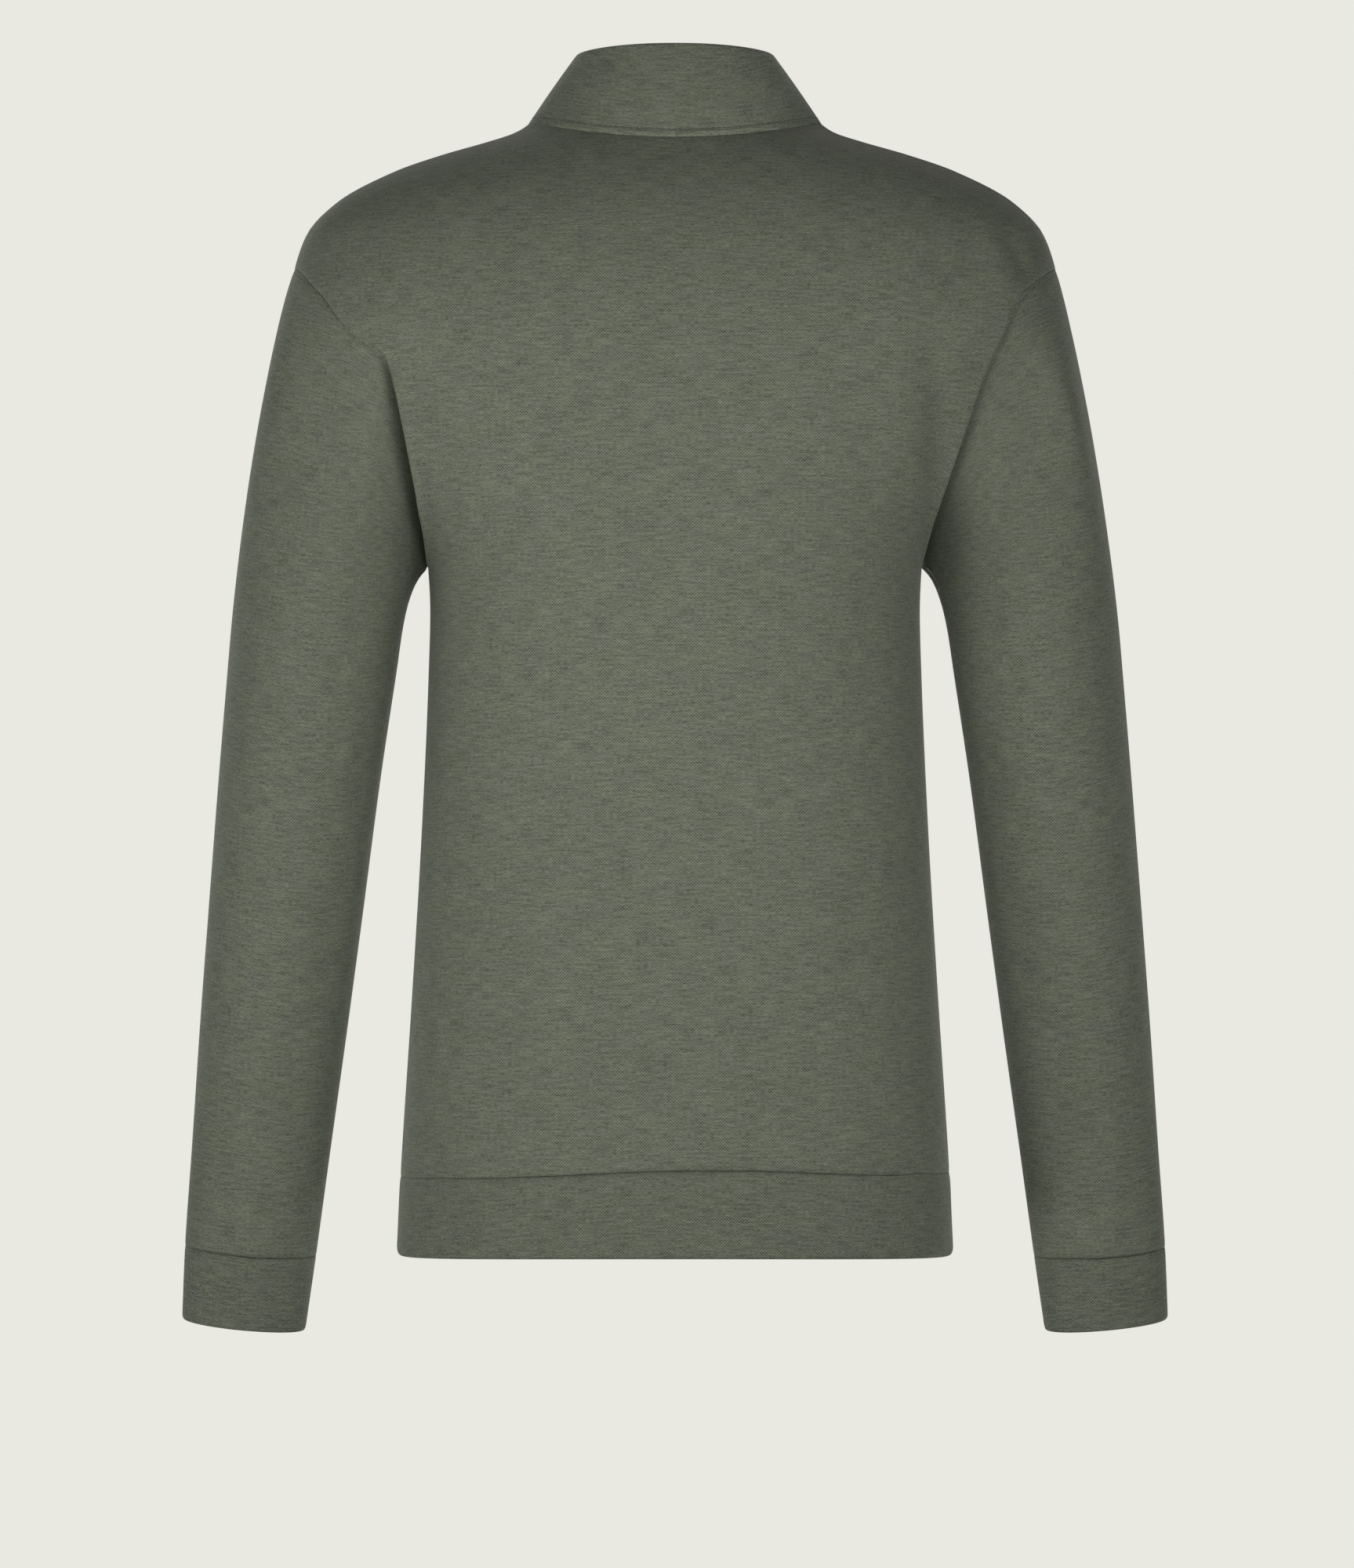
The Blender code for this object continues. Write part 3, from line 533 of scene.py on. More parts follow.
def smooth(at, knots, values):
    """Read a table as a smooth curve that never overshoots its knots."""
    order = np.argsort(knots)
    knots = np.asarray(knots, float)[order]
    values = np.asarray(values, float)[order]
    step = np.diff(knots)
    rise = np.diff(values) / step
    slope = np.zeros(len(knots))
    before, after = rise[:-1], rise[1:]
    same = before * after > 0
    slope[1:-1][same] = (2 * before * after)[same] / (before + after)[same]
    slope[0], slope[-1] = rise[0], rise[-1]
    at = np.asarray(at, float)
    cell = np.clip(np.searchsorted(knots, at) - 1, 0, len(step) - 1)
    share = (at - knots[cell]) / step[cell]
    leave, arrive = slope[cell] * step[cell], slope[cell + 1] * step[cell]
    return bend(share, values[cell], leave, values[cell + 1], arrive)


def read(table, at, column=1):
    """A column of a table as a smooth curve over its first column."""
    knots, values = np.array(table)[:, (0, column)].T
    return smooth(at, knots, values)


def unit(vectors):
    """Vectors of the same direction and length 1."""
    return vectors / np.maximum(np.linalg.norm(vectors, axis=-1, keepdims=True), NO_LENGTH)


def dot(first, second):
    """Dot products, kept as a last axis of one."""
    return np.sum(first * second, axis=-1, keepdims=True)


def stack(x, y, z):
    """Points from their coordinates."""
    return np.stack(np.broadcast_arrays(x, y, z), axis=-1).astype(float)


def run_lengths(points, axis):
    """Distance run along the rows (axis 1) or columns (axis 0) of a grid, from their start."""
    steps = np.linalg.norm(np.diff(points, axis=axis), axis=-1)
    start = np.zeros_like(np.take(steps, [0], axis=axis))
    return np.concatenate([start, np.cumsum(steps, axis=axis)], axis=axis)


def shares(span, step, low_rows=(0.0,), high_rows=(0.0,)):
    """Shares from 0 to 1 of a span: evenly spaced, with rows of their own at either end."""
    low = np.array(low_rows)
    high = span - np.array(high_rows)[::-1]
    count = max(1, round((high[0] - low[-1]) / step))
    even = np.linspace(low[-1], high[0], count + 1)
    return np.concatenate([low[:-1], even, high[1:]]) / span


def mirrored(half):
    """Places to both sides of 0, from those to one side of it."""
    return np.concatenate([-half[::-1], half[1:]])


def round_rings(points):
    """Directions along rings of points whose last point is their first."""
    ring = points[..., :-1, :]
    along = np.roll(ring, -1, axis=-2) - np.roll(ring, 1, axis=-2)
    return unit(np.concatenate([along, along[..., :1, :]], axis=-2))


def tube_normals(points):
    """Ways out of a tube of points, up to their sign."""
    return unit(np.cross(round_rings(points), unit(np.gradient(points, axis=0))))


def creases(across, along, table):
    """How far a table of creases lifts the cloth, at places across and along it."""
    rise = np.zeros(np.broadcast(across, along).shape)
    for start_x, start_z, end_x, end_z, bow, width, depth in table:
        run_x, run_z = end_x - start_x, end_z - start_z
        span = math.hypot(run_x, run_z)
        ahead = ((across - start_x) * run_x + (along - start_z) * run_z) / span**2
        ahead = np.clip(ahead, 0, 1)
        beside = ((across - start_x) * run_z - (along - start_z) * run_x) / span
        beside = beside - bow * np.sin(math.pi * ahead)
        rise += depth * np.sin(math.pi * ahead) ** CREASE_TAPER * np.exp(-((beside / width) ** 2))
    return rise


def turned_creases(degrees, along, table, mm_per_degree):
    """Creases of a tube, from a table with its turns in degrees."""
    scaled = [(row[0] * mm_per_degree, row[1], row[2] * mm_per_degree) + row[3:] for row in table]
    return creases(degrees[None] * mm_per_degree, along, scaled)


def ripples(across, table):
    """The sum of a table's waves."""
    return sum(height * np.sin(across / stretch + start) for height, stretch, start in table)


def tucked(distance, width):
    """A tuck beside a seam: it drops steeply from the seam and comes back slowly."""
    near = np.maximum(distance, 0)
    return (1 - np.exp(-near / TUCK_EDGE)) * np.exp(-near / width)


def hump(distance, width):
    """A swell beside a seam: 0 at the seam, 1 at the width, and fading beyond it."""
    near = np.maximum(distance, 0) / width
    return near * np.exp(1 - near)


# ---------------------------------------------------------------- the form
def body_ring(height, face):
    """Half width, depth and squareness of the body at a height, for the back or front face."""
    return [read(BODY_RINGS, height, column) for column in (1, 2 if face == "back" else 3, 4)]


def body_point(angle, height, face):
    """A point of the body: the angle is 0 at the middle of the face, and 90 degrees at a side."""
    half_width, depth, square = body_ring(height, face)
    across, ahead = np.sin(angle), np.abs(np.cos(angle))
    toward = -1 if face == "back" else 1
    x = half_width * np.sign(across) * np.abs(across) ** (2 / square)
    return stack(x, toward * depth * ahead ** (2 / square), height)


def body_angle(x, height, face):
    """The angle at which the body's ring at a height reaches x."""
    half_width, _, square = body_ring(height, face)
    share = np.clip(np.abs(x) / half_width, 0, 1) ** (square / 2)
    return np.sign(x) * np.arcsin(share)


def body_normal(points, face):
    """The way out of the body at points of its face."""
    x, y, height = points[..., 0], points[..., 1], points[..., 2]
    half_width, depth, square = body_ring(height, face)
    above = body_ring(height + RING_STEP, face)
    below = body_ring(height - RING_STEP, face)
    across = (np.abs(x) / half_width) ** (square - 1)
    ahead = (np.abs(y) / depth) ** (square - 1)
    widening, deepening = ((above[part] - below[part]) / (2 * RING_STEP) for part in (0, 1))
    slope = widening * across * np.abs(x) / half_width**2
    slope = slope + deepening * ahead * np.abs(y) / depth**2
    return unit(stack(np.sign(x) * across / half_width, np.sign(y) * ahead / depth, -slope))


def normal_by_face(points, at_back):
    """The way out of the body at points on the back and on the front."""
    return np.where(at_back, *(body_normal(points, face) for face in FACES))


def ring_length(height, face):
    """A quarter of the way round the body at a height, near enough to space the columns."""
    half_width, depth, _ = body_ring(height, face)
    return math.pi / 2 * np.sqrt((half_width**2 + depth**2) / 2)


def round_body(angle, height, face):
    """Distance round the body from the middle of its face, along the ring at a height."""
    here = body_point(angle * 0, height, face)
    run = np.zeros(here.shape[:-1])
    for share in np.linspace(0, 1, ROUND_STEPS + 1)[1:]:
        onward = body_point(angle * share, height, face)
        run = run + np.linalg.norm(onward - here, axis=-1)
        here = onward
    return np.sign(angle) * run


def up_the_knit(points, face):
    """Distance up the cloth: along the middle of the face, then straight up over the shoulders."""
    across, height = np.abs(points[..., 0]), points[..., 2]
    levels = np.linspace(HEM_EDGE_HEIGHT, SHOULDER_HEIGHT - SHOULDER_START, MIDDLE_STEPS)
    middle = np.stack([body_ring(levels, face)[1], levels], axis=-1)
    start = np.minimum(height, levels[-1])
    run = np.interp(start, levels, run_lengths(middle[None], 1)[0])

    def depth(level):
        half_width, deepest, square = body_ring(level, face)
        return deepest * np.maximum(1 - (across / half_width) ** square, 0) ** (1 / square)

    here = depth(start)
    for share in np.linspace(0, 1, SHOULDER_STEPS + 1)[1:]:
        onward = depth(start + (height - start) * share)
        run = run + np.hypot(onward - here, (height - start) / SHOULDER_STEPS)
        here = onward
    return run


def neck_seam(turn):
    """The neck seam and the body's way out there: 0 is the middle of the back, 90 the right."""
    across, ahead = np.sin(turn), np.cos(turn)
    middle = np.where(ahead > 0, NECK_BACK_HEIGHT, NECK_FRONT_HEIGHT)
    height = NECK_SIDE_HEIGHT + (middle - NECK_SIDE_HEIGHT) * ahead**2
    x = NECK_HALF_WIDTH * across
    at_back = (ahead > 0)[..., None]
    point = np.where(at_back, *(body_point(body_angle(x, height, face), height, face)
                                for face in FACES))
    return point, normal_by_face(point, at_back)


def collar_edge(turn):
    """The top edge of the collar, at the same turn as the neck seam."""
    across, ahead = np.sin(turn), np.cos(turn)
    at_back = ahead > 0
    middle = np.where(at_back, COLLAR_BACK_HEIGHT, COLLAR_FRONT_HEIGHT)
    depth = np.where(at_back, COLLAR_BACK_DEPTH, COLLAR_FRONT_DEPTH)
    height = COLLAR_SIDE_HEIGHT + (middle - COLLAR_SIDE_HEIGHT) * ahead**2
    x = COLLAR_HALF_WIDTH * np.sign(across) * np.abs(across) ** (2 / COLLAR_SQUARENESS)
    return stack(x, -depth * np.sign(ahead) * np.abs(ahead) ** (2 / COLLAR_SQUARENESS), height)


def neck_frame(turn):
    """Neck seam: points, along it, and the ways out of the body, of the collar and between them."""
    point, body_out = neck_seam(turn)
    along = unit(neck_seam(turn + NECK_STEP)[0] - neck_seam(turn - NECK_STEP)[0])
    collar_out = unit(np.cross(along, collar_edge(turn) - point))
    return point, along, body_out, collar_out, unit(body_out + collar_out)


def from_shoulder(turn):
    """Degrees round the armhole from the shoulder, counted the same way on both faces."""
    return np.degrees(np.arccos(np.clip(np.cos(turn), -1, 1)))


def armhole_points(turn, side):
    """The armhole: 0 at the shoulder, 90 degrees at the back, 180 under the arm, 270 in front."""
    middle = (SHOULDER_HEIGHT + ARMPIT_HEIGHT) / 2
    height = middle + (SHOULDER_HEIGHT - middle) * np.cos(turn)
    points = []
    for face in FACES:
        bite = np.radians(read(ARMHOLES[face, side], from_shoulder(turn)))
        points.append(body_point(side * (math.pi / 2 - bite), height, face))
    return np.where((np.sin(turn) >= 0)[..., None], *points)


def armhole_frame(turn, side):
    """Armhole: points, along it, out of body, sleeve and between them, and the sleeve's way on."""
    turn = np.mod(turn, TAU)
    point = armhole_points(turn, side)
    ahead, behind = (armhole_points(np.mod(turn + step, TAU), side)
                     for step in (ARMHOLE_STEP, -ARMHOLE_STEP))
    along = unit(ahead - behind)
    body_out = normal_by_face(point, (np.sin(turn) >= 0)[..., None])
    onward = unit(np.cross(body_out, along) * side)
    under = stack(side * UNDERARM_OUT, SLEEVE_TUCK * np.sin(turn), -UNDERARM_DOWN)
    share = ((1 - np.cos(turn)) / 2)[..., None] ** UNDERARM_DELAY
    onward = unit(onward * (1 - share) + under * share)
    onward = unit(onward - along * dot(onward, along))
    sleeve_out = unit(np.cross(along, onward) * side)
    return point, along, body_out, sleeve_out, unit(body_out + sleeve_out), onward


def armhole_roll(turn, side):
    """Height of the panel's roll, and depth and width of the sleeve's tuck, round the armhole."""
    values = []
    for column in (1, 2, 3):
        values.append(np.where(np.sin(turn) >= 0, *(
            read(ROLLS[face, side], from_shoulder(turn), column) for face in FACES)))
    return values


def sleeve_tube(turn, height, side):
    """Points and ways out on the sleeve's rings: 0 is the outer side and 90 degrees the back."""
    def middle(level):
        return stack(side * read(SLEEVE_RINGS, level), read(SLEEVE_RINGS, level, 2), level)

    down = unit(middle(height - ARM_STEP) - middle(height + ARM_STEP))
    outward = np.array((side, 0.0, 0.0)) * np.ones_like(down)
    outward = unit(outward - down * dot(outward, down))
    backward = unit(np.cross(down, outward) * side)
    backward = backward * np.where(backward[..., 1:2] > 0, -1, 1)
    half_width, half_depth = (read(SLEEVE_RINGS, height, column)[..., None] for column in (3, 4))
    out, back = np.cos(turn)[..., None], np.sin(turn)[..., None]
    point = middle(height) + outward * half_width * out + backward * half_depth * back
    return point, unit(outward * out / half_width + backward * back / half_depth)


def cuff_lift(turn, side):
    """How far the cuff seam is lifted or dropped round the wrist."""
    height, count, start = CUFF_WAVES
    waves = height * np.sin(count * turn + start * side)
    return CUFF_SEAM_LIFT[side] * (1 + np.cos(turn)) / 2 + waves


def evened(turn, side):
    """The armhole and the sleeve's way on from it, without their sharp corners."""
    even = TAU * np.arange(ARMHOLE_SAMPLES) / ARMHOLE_SAMPLES
    frame_parts = armhole_frame(even, side)
    waves = np.arange(ARMHOLE_WAVES)
    swing = np.exp(1j * turn[:, None] * waves) * np.where(waves > 0, 2, 1) / ARMHOLE_SAMPLES
    soft = [np.real(swing @ np.fft.rfft(part, axis=0)[:ARMHOLE_WAVES]) for part in
            (frame_parts[0], frame_parts[5])]
    return soft[0], unit(soft[1])


def sleeve_points(turn, row_share, tube_share, side):
    """The sleeve from armhole to cuff seam: the cap rows bend into the tube rows."""
    seam = armhole_points(np.mod(turn, TAU), side)
    soft_seam, onward = evened(turn, side)
    first, _ = sleeve_tube(turn, np.full_like(turn, SLEEVE_TUBE_HEIGHT), side)
    below, _ = sleeve_tube(turn, np.full_like(turn, SLEEVE_TUBE_HEIGHT - ARM_STEP), side)
    span = np.linalg.norm(first - seam, axis=-1, keepdims=True)
    leave = onward * span * CAP_LEAVE
    arrive = unit(below - first) * span * CAP_ARRIVE
    rows = []
    for share in row_share:
        evening = np.clip(share / CORNER_REACH, 0, 1)
        start = seam + (soft_seam - seam) * evening**2 * (3 - 2 * evening)
        rows.append(bend(share, start, leave, first, arrive))
    end = CUFF_SEAM_HEIGHT + cuff_lift(turn, side)
    for share in tube_share:
        height = SLEEVE_TUBE_HEIGHT + (end - SLEEVE_TUBE_HEIGHT) * share
        rows.append(sleeve_tube(turn, height, side)[0])
    return np.array(rows)


def pull_in(along, way_out, inward, gap):
    """Half the seam gap, square to the seam and to the wall, on the side that inward points to."""
    sideways = unit(np.cross(way_out, along))
    return sideways * np.sign(dot(sideways, inward)) * np.reshape(gap, (-1, 1)) / 2


def seam_share(turn):
    """How much of the seam's depth there is round the armhole: little at the shoulder."""
    return np.clip(from_shoulder(turn) / FULL_SEAM_TURN, SHOULDER_SEAM, 1)


def neck_share(turn):
    """How much of the seam's depth there is round the neck: none at the sides."""
    return NECK_SEAM * np.abs(np.cos(turn)) ** NECK_FADE


def band_share(toward):
    """How much of a band's seam there is, by how far it faces the front or the back."""
    return BAND_SIDE_SEAM + (BAND_FACE_SEAM - BAND_SIDE_SEAM) * np.abs(toward)


def mitre(way_between, way_own, distance):
    """A step out along the way shared by both pieces of a seam, as long as it has to be."""
    return way_between * distance / np.maximum(dot(way_between, way_own), SHARPEST_MITRE)


def hem_seam(angle, face):
    """Points of the seam above the hem band."""
    lift = HEM_SEAM_RISE[face] * np.cos(angle) ** 2 + read(HEM_WANDER[face], np.degrees(angle))
    return body_point(angle, HEM_SEAM_HEIGHT + lift, face)


def hem_edge(angle, face):
    """Points of the hem band's lower edge."""
    return body_point(angle, HEM_EDGE_HEIGHT + HEM_EDGE_RISE[face] * np.cos(angle) ** 2, face)


# ---------------------------------------------------------------- pieces of cloth
class Fabric:
    """One piece's grid: its outside points, its wall, and where each point lies on the knit.

    A closed piece's last column is its first again.
    """

    def __init__(self, points, wall, knit, closed):
        if closed:
            points[:, -1] = points[:, 0]
        self.points = points
        self.wall = wall
        self.knit = knit
        self.closed = closed


def sizes_in_mm(context):
    """The cloth's sizes in millimetres."""
    cloth = context.scene.sweatshirt_cloth
    names = SweatshirtCloth.__annotations__
    return {name: getattr(cloth, name) / MM for name in names}


def seam_dip(distances, size):
    """How far the cloth rolls in beside its seams, from the distances to them."""
    dip = 0
    for distance in distances:
        near = distance / size["seam_width"]
        roll, crack = np.exp(-(near**2)), np.exp(-near / SEAM_CRACK)
        dip = np.maximum(dip, roll + (crack - roll) * SEAM_CRACK_SHARE)
    return dip * size["seam_depth"]


def flat_knit(across, along, middle):
    """Where a tube's points lie on the flat knit, with the middle column at 0."""
    return np.stack([across - across[:, middle:middle + 1], along], axis=-1)


def panel_turn(armhole_rows, face):
    """Turns round the armhole, from under the arm to the shoulder along one face."""
    turn = math.pi * (1 - armhole_rows)
    return turn if face == "back" else TAU - turn - SHORT_OF_END


def panel_half(face, side, columns, side_rows, armhole_rows):
    """Angle and height of half a panel: rows from hem to shoulder, columns from middle to side."""
    side_angle = side * math.pi / 2
    bottom_angle = side_angle * columns
    bottom_height = hem_seam(bottom_angle, face)[..., 2]

    neck_turn = math.pi / 2 * columns[columns <= NECK_COLUMNS] / NECK_COLUMNS
    if face == "front":
        neck_turn = math.pi - neck_turn
    neck = neck_seam(side * neck_turn)[0]
    table = np.array(BODY_RINGS)[:SHOULDER_RIDGE_ROWS]
    shoulder_share = (columns[columns > NECK_COLUMNS] - NECK_COLUMNS) / (1 - NECK_COLUMNS)
    shoulder_x = NECK_HALF_WIDTH + (table[-1, 1] - NECK_HALF_WIDTH) * shoulder_share
    ridge = smooth(shoulder_x, table[:, 1], table[:, 0])
    ridge[-1] = SHOULDER_HEIGHT
    top_height = np.concatenate([neck[:, 2], ridge])
    neck_angle = body_angle(neck[:, 0], neck[:, 2], face)
    neck_angle[-1] = side_angle
    top_angle = np.concatenate([neck_angle, np.full(len(ridge), side_angle)])

    side_height = bottom_height[-1] + (ARMPIT_HEIGHT - bottom_height[-1]) * side_rows
    armhole = armhole_points(panel_turn(armhole_rows[1:], face), side)
    edge_height = np.concatenate([side_height, armhole[:, 2]])
    armhole_angle = body_angle(armhole[:, 0], armhole[:, 2], face)
    armhole_angle[-1] = side_angle
    edge_angle = np.concatenate([np.full(len(side_rows), side_angle), armhole_angle])

    lower = bottom_height[0] + (ARMPIT_HEIGHT - bottom_height[0]) * side_rows
    upper = ARMPIT_HEIGHT + (top_height[0] - ARMPIT_HEIGHT) * armhole_rows[1:]
    middle_height = np.concatenate([lower, upper])

    def flat(angle, height):
        return np.stack([angle / (math.pi / 2) * ring_length(height, face), height], axis=-1)

    bottom = flat(bottom_angle, bottom_height)[None, :]
    top = flat(top_angle, top_height)[None, :]
    inner = flat(np.zeros(len(middle_height)), middle_height)[:, None]
    outer = flat(edge_angle, edge_height)[:, None]

    def between(first, last):
        outward = columns[None, :, None]
        return (1 - outward) * first + outward * last

    low = np.concatenate([1 - side_rows, 0 * armhole_rows[1:]])[:, None, None]
    high = np.concatenate([0 * side_rows, armhole_rows[1:] ** 2])[:, None, None]
    sheet = between(inner, outer)
    sheet = sheet + low * (bottom - between(bottom[:, :1], bottom[:, -1:]))
    sheet = sheet + high * (top - between(top[:, :1], top[:, -1:]))
    angle = sheet[..., 0] / ring_length(sheet[..., 1], face) * math.pi / 2
    angle = np.clip(angle, -math.pi / 2, math.pi / 2)
    angle[-1, :], angle[:, -1], angle[0, :] = top_angle, edge_angle, bottom_angle
    return angle, sheet[..., 1]


def panel(face, size):
    """The back or front panel, in columns from the left side to the right."""
    step, gap, thickness = size["grid_step"], size["seam_gap"], size["cloth_thickness"]
    neck_shares = shares(NECK_QUARTER, step)
    shoulder_shares = shares(SHOULDER_RUN, step, high_rows=SEAM_ROWS)[1:]
    columns = np.concatenate([NECK_COLUMNS * neck_shares,
                              NECK_COLUMNS + (1 - NECK_COLUMNS) * shoulder_shares])
    side_rows = shares(SIDE_RUN, step, low_rows=SEAM_ROWS)
    armhole_rows = shares(ARMHOLE_RUN, step, high_rows=SEAM_ROWS)
    turn = panel_turn(armhole_rows, face)
    neck_turn = math.pi / 2 * mirrored(neck_shares)
    neck_turn = neck_turn if face == "back" else math.pi - neck_turn
    at_armhole = slice(len(side_rows) - 1, None)
    at_neck = slice(len(columns) - len(neck_shares), len(columns) + len(neck_shares) - 1)

    left, right = (panel_half(face, side, columns, side_rows, armhole_rows) for side in (-1, 1))
    angle, height = (np.concatenate([to_left[:, ::-1], to_right[:, 1:]], axis=1)
                     for to_left, to_right in zip(left, right))
    points = body_point(angle, height, face)
    way_out = body_normal(points, face)
    wall = -way_out * thickness
    shift = np.zeros_like(points)
    hem_share = band_share(np.cos(angle[0]))
    hem_along = unit(np.gradient(points[0], axis=0))
    shift[0] += pull_in(hem_along, way_out[0], UP, gap * hem_share)

    across, along = run_lengths(points, 1), run_lengths(points, 0)
    from_side = {-1: across, 1: across[:, -1:] - across}
    from_top = along[-1:] - along
    side_share = np.ones((len(points), 1))
    side_share[at_armhole, 0] = seam_share(turn)
    top_share = np.full(len(points[0]), SHOULDER_RIDGE_SEAM)
    top_share[at_neck.start + 1:at_neck.stop - 1] = neck_share(neck_turn)[1:-1]
    dip = np.maximum.reduce([seam_dip(list(from_side.values()), size) * side_share,
                             seam_dip([along], size) * hem_share,
                             seam_dip([from_top], size) * top_share])
    table = BACK_CREASES if face == "back" else FRONT_CREASES
    swell = creases(points[..., 0], points[..., 2], table)
    swell = swell + size["blouse_depth"] * np.cos(angle) * hump(along, size["blouse_height"])
    near_seam = np.minimum.reduce([*from_side.values(), along, from_top])
    swell = swell * np.clip(near_seam / CREASE_CLEAR, 0, 1)
    fade = np.clip(1 + (height - ARMPIT_HEIGHT) / ROLL_FADE, 0, 1)
    edge_step = {}
    for side, column, inner in ((-1, 0, 1), (1, -1, -2)):
        at, seam_along, body_out, _, between, _ = armhole_frame(turn, side)
        points[at_armhole, column] = at
        inward = points[at_armhole, inner] - points[at_armhole, column]
        inward[0] = -UP
        inward[-1] = (-side, 0.0, SHOULDER_RISE)
        shift[at_armhole, column] += pull_in(seam_along, between, inward, gap)
        wall[at_armhole, column] = -mitre(between, body_out, thickness)
        depth = seam_share(turn)[:, None]
        edge_step[column] = -mitre(between, body_out, size["seam_depth"]) * depth
        roll = armhole_roll(turn, side)[0]
        roll = np.concatenate([np.full(len(side_rows) - 1, roll[0]), roll])
        swell = swell + roll[:, None] * hump(from_side[side], ROLL_WIDTH) * fade

    at, neck_along, body_out, _, between = neck_frame(neck_turn)
    points[-1, at_neck] = at
    shift[-1, at_neck] += pull_in(neck_along, between, at - ABOVE_NECK * UP, gap * NECK_GAP)
    wall[-1, at_neck] = -mitre(between, body_out, thickness)

    placed = points + shift
    moved = placed + way_out * (swell - dip)[..., None]
    for column, step_in in edge_step.items():
        moved[at_armhole, column] = placed[at_armhole, column] + step_in
    neck_step = -mitre(between, body_out, size["seam_depth"]) * neck_share(neck_turn)[:, None]
    moved[-1, at_neck] = placed[-1, at_neck] + neck_step
    knit = np.stack([round_body(angle, height, face), up_the_knit(points, face)], axis=-1)
    return Fabric(moved, wall, knit, False)


def sleeve(side, size):
    """A sleeve from armhole to cuff seam, once round from its seam under the arm."""
    step, gap, thickness = size["grid_step"], size["seam_gap"], size["cloth_thickness"]
    turn = math.pi + TAU * shares(SLEEVE_ROUND, step, SEAM_ROWS, SEAM_ROWS)
    caps = shares(CAP_RUN, step, low_rows=SEAM_ROWS)
    tubes = shares(TUBE_RUN, step, high_rows=SEAM_ROWS)[1:]
    points = sleeve_points(turn, caps, tubes, side)
    way_out = tube_normals(points)
    _, cuff_out = sleeve_tube(turn, CUFF_SEAM_HEIGHT + cuff_lift(turn, side), side)
    way_out = way_out * np.sign(dot(way_out[-1], cuff_out)).mean()
    _, along, _, sleeve_out, between, onward = armhole_frame(turn, side)
    way_out[0], way_out[-1] = sleeve_out, cuff_out
    wall = -way_out * thickness
    wall[0] = -mitre(between, sleeve_out, thickness)
    cuff_share = band_share(np.sin(turn))
    placed = points.copy()
    placed[0] += pull_in(along, between, onward, gap)
    placed[-1] += pull_in(round_rings(points[-1]), cuff_out, UP, gap * cuff_share)

    from_armhole, across = run_lengths(points, 0), run_lengths(points, 1)
    from_cuff = from_armhole[-1:] - from_armhole
    underarm = np.minimum(across, across[:, -1:] - across)
    dip = np.maximum.reduce([seam_dip([from_armhole], size) * seam_share(turn),
                             seam_dip([from_cuff], size) * cuff_share,
                             seam_dip([underarm], size) * UNDERARM_SEAM])
    degrees = np.degrees(turn) - 360.0
    swell = turned_creases(degrees, points[..., 2], SLEEVE_CREASES[side], SLEEVE_MM_PER_DEGREE)
    swell = swell * np.clip(np.minimum(from_armhole, from_cuff) / CREASE_CLEAR, 0, 1)
    _, tuck, tuck_width = armhole_roll(turn, side)
    under = unit(stack(-side * TUCK_UNDER, np.clip(TUCK_TURNOVER * np.sin(turn), -1, 1), 0))
    tuck_in = tuck[None] * tucked(from_armhole, tuck_width[None])
    moved = placed + way_out * (swell - dip)[..., None] + under * tuck_in[..., None]
    seam_step = mitre(between, sleeve_out, size["seam_depth"]) * seam_share(turn)[:, None]
    moved[0] = placed[0] - seam_step
    return Fabric(moved, wall, flat_knit(across, from_cuff, np.argmin(np.abs(degrees))), True)


def folded_edge(from_edge, thickness, size, larger=1.0):
    """How far a folded edge rounds in, and what is left of its wall, by the distance to it."""
    near = np.clip(1 - from_edge / (size["fold_height"] * larger), 0, 1)
    inset = 1 - np.sqrt(np.maximum(1 - near**2, 0))
    return inset * size["fold_inset"] * larger, thickness * (1 - FOLD_THINNING * inset)


def cuff(side, size):
    """A cuff from its seam to its folded edge."""
    step = size["grid_step"] * BAND_GRID
    turn = math.pi + TAU * shares(CUFF_ROUND, step, SEAM_ROWS, SEAM_ROWS)
    top = CUFF_SEAM_HEIGHT + cuff_lift(turn, side)
    rings = [sleeve_tube(turn, top + (CUFF_EDGE_HEIGHT - top) * row, side)
             for row in shares(CUFF_RUN, step, SEAM_ROWS, SEAM_ROWS)]
    points, way_out = (np.array(part) for part in zip(*rings))
    share = band_share(np.sin(turn))
    placed = points.copy()
    placed[0] += pull_in(round_rings(points[0]), way_out[0], -UP, size["seam_gap"] * share)
    down, across = run_lengths(points, 0), run_lengths(points, 1)
    inset, left = folded_edge(down[-1:] - down, size["doubled_thickness"], size)
    degrees = np.degrees(turn) - 360.0
    swell = turned_creases(degrees, points[..., 2], CUFF_CREASES, SLEEVE_MM_PER_DEGREE)
    underarm = np.minimum(across, across[:, -1:] - across)
    dip = np.maximum(seam_dip([down], size) * share, seam_dip([underarm], size) * UNDERARM_SEAM)
    moved = placed + way_out * (swell - inset - dip)[..., None]
    knit = flat_knit(across, -down, np.argmin(np.abs(degrees)))
    return Fabric(moved, -way_out * left[..., None], knit, True)


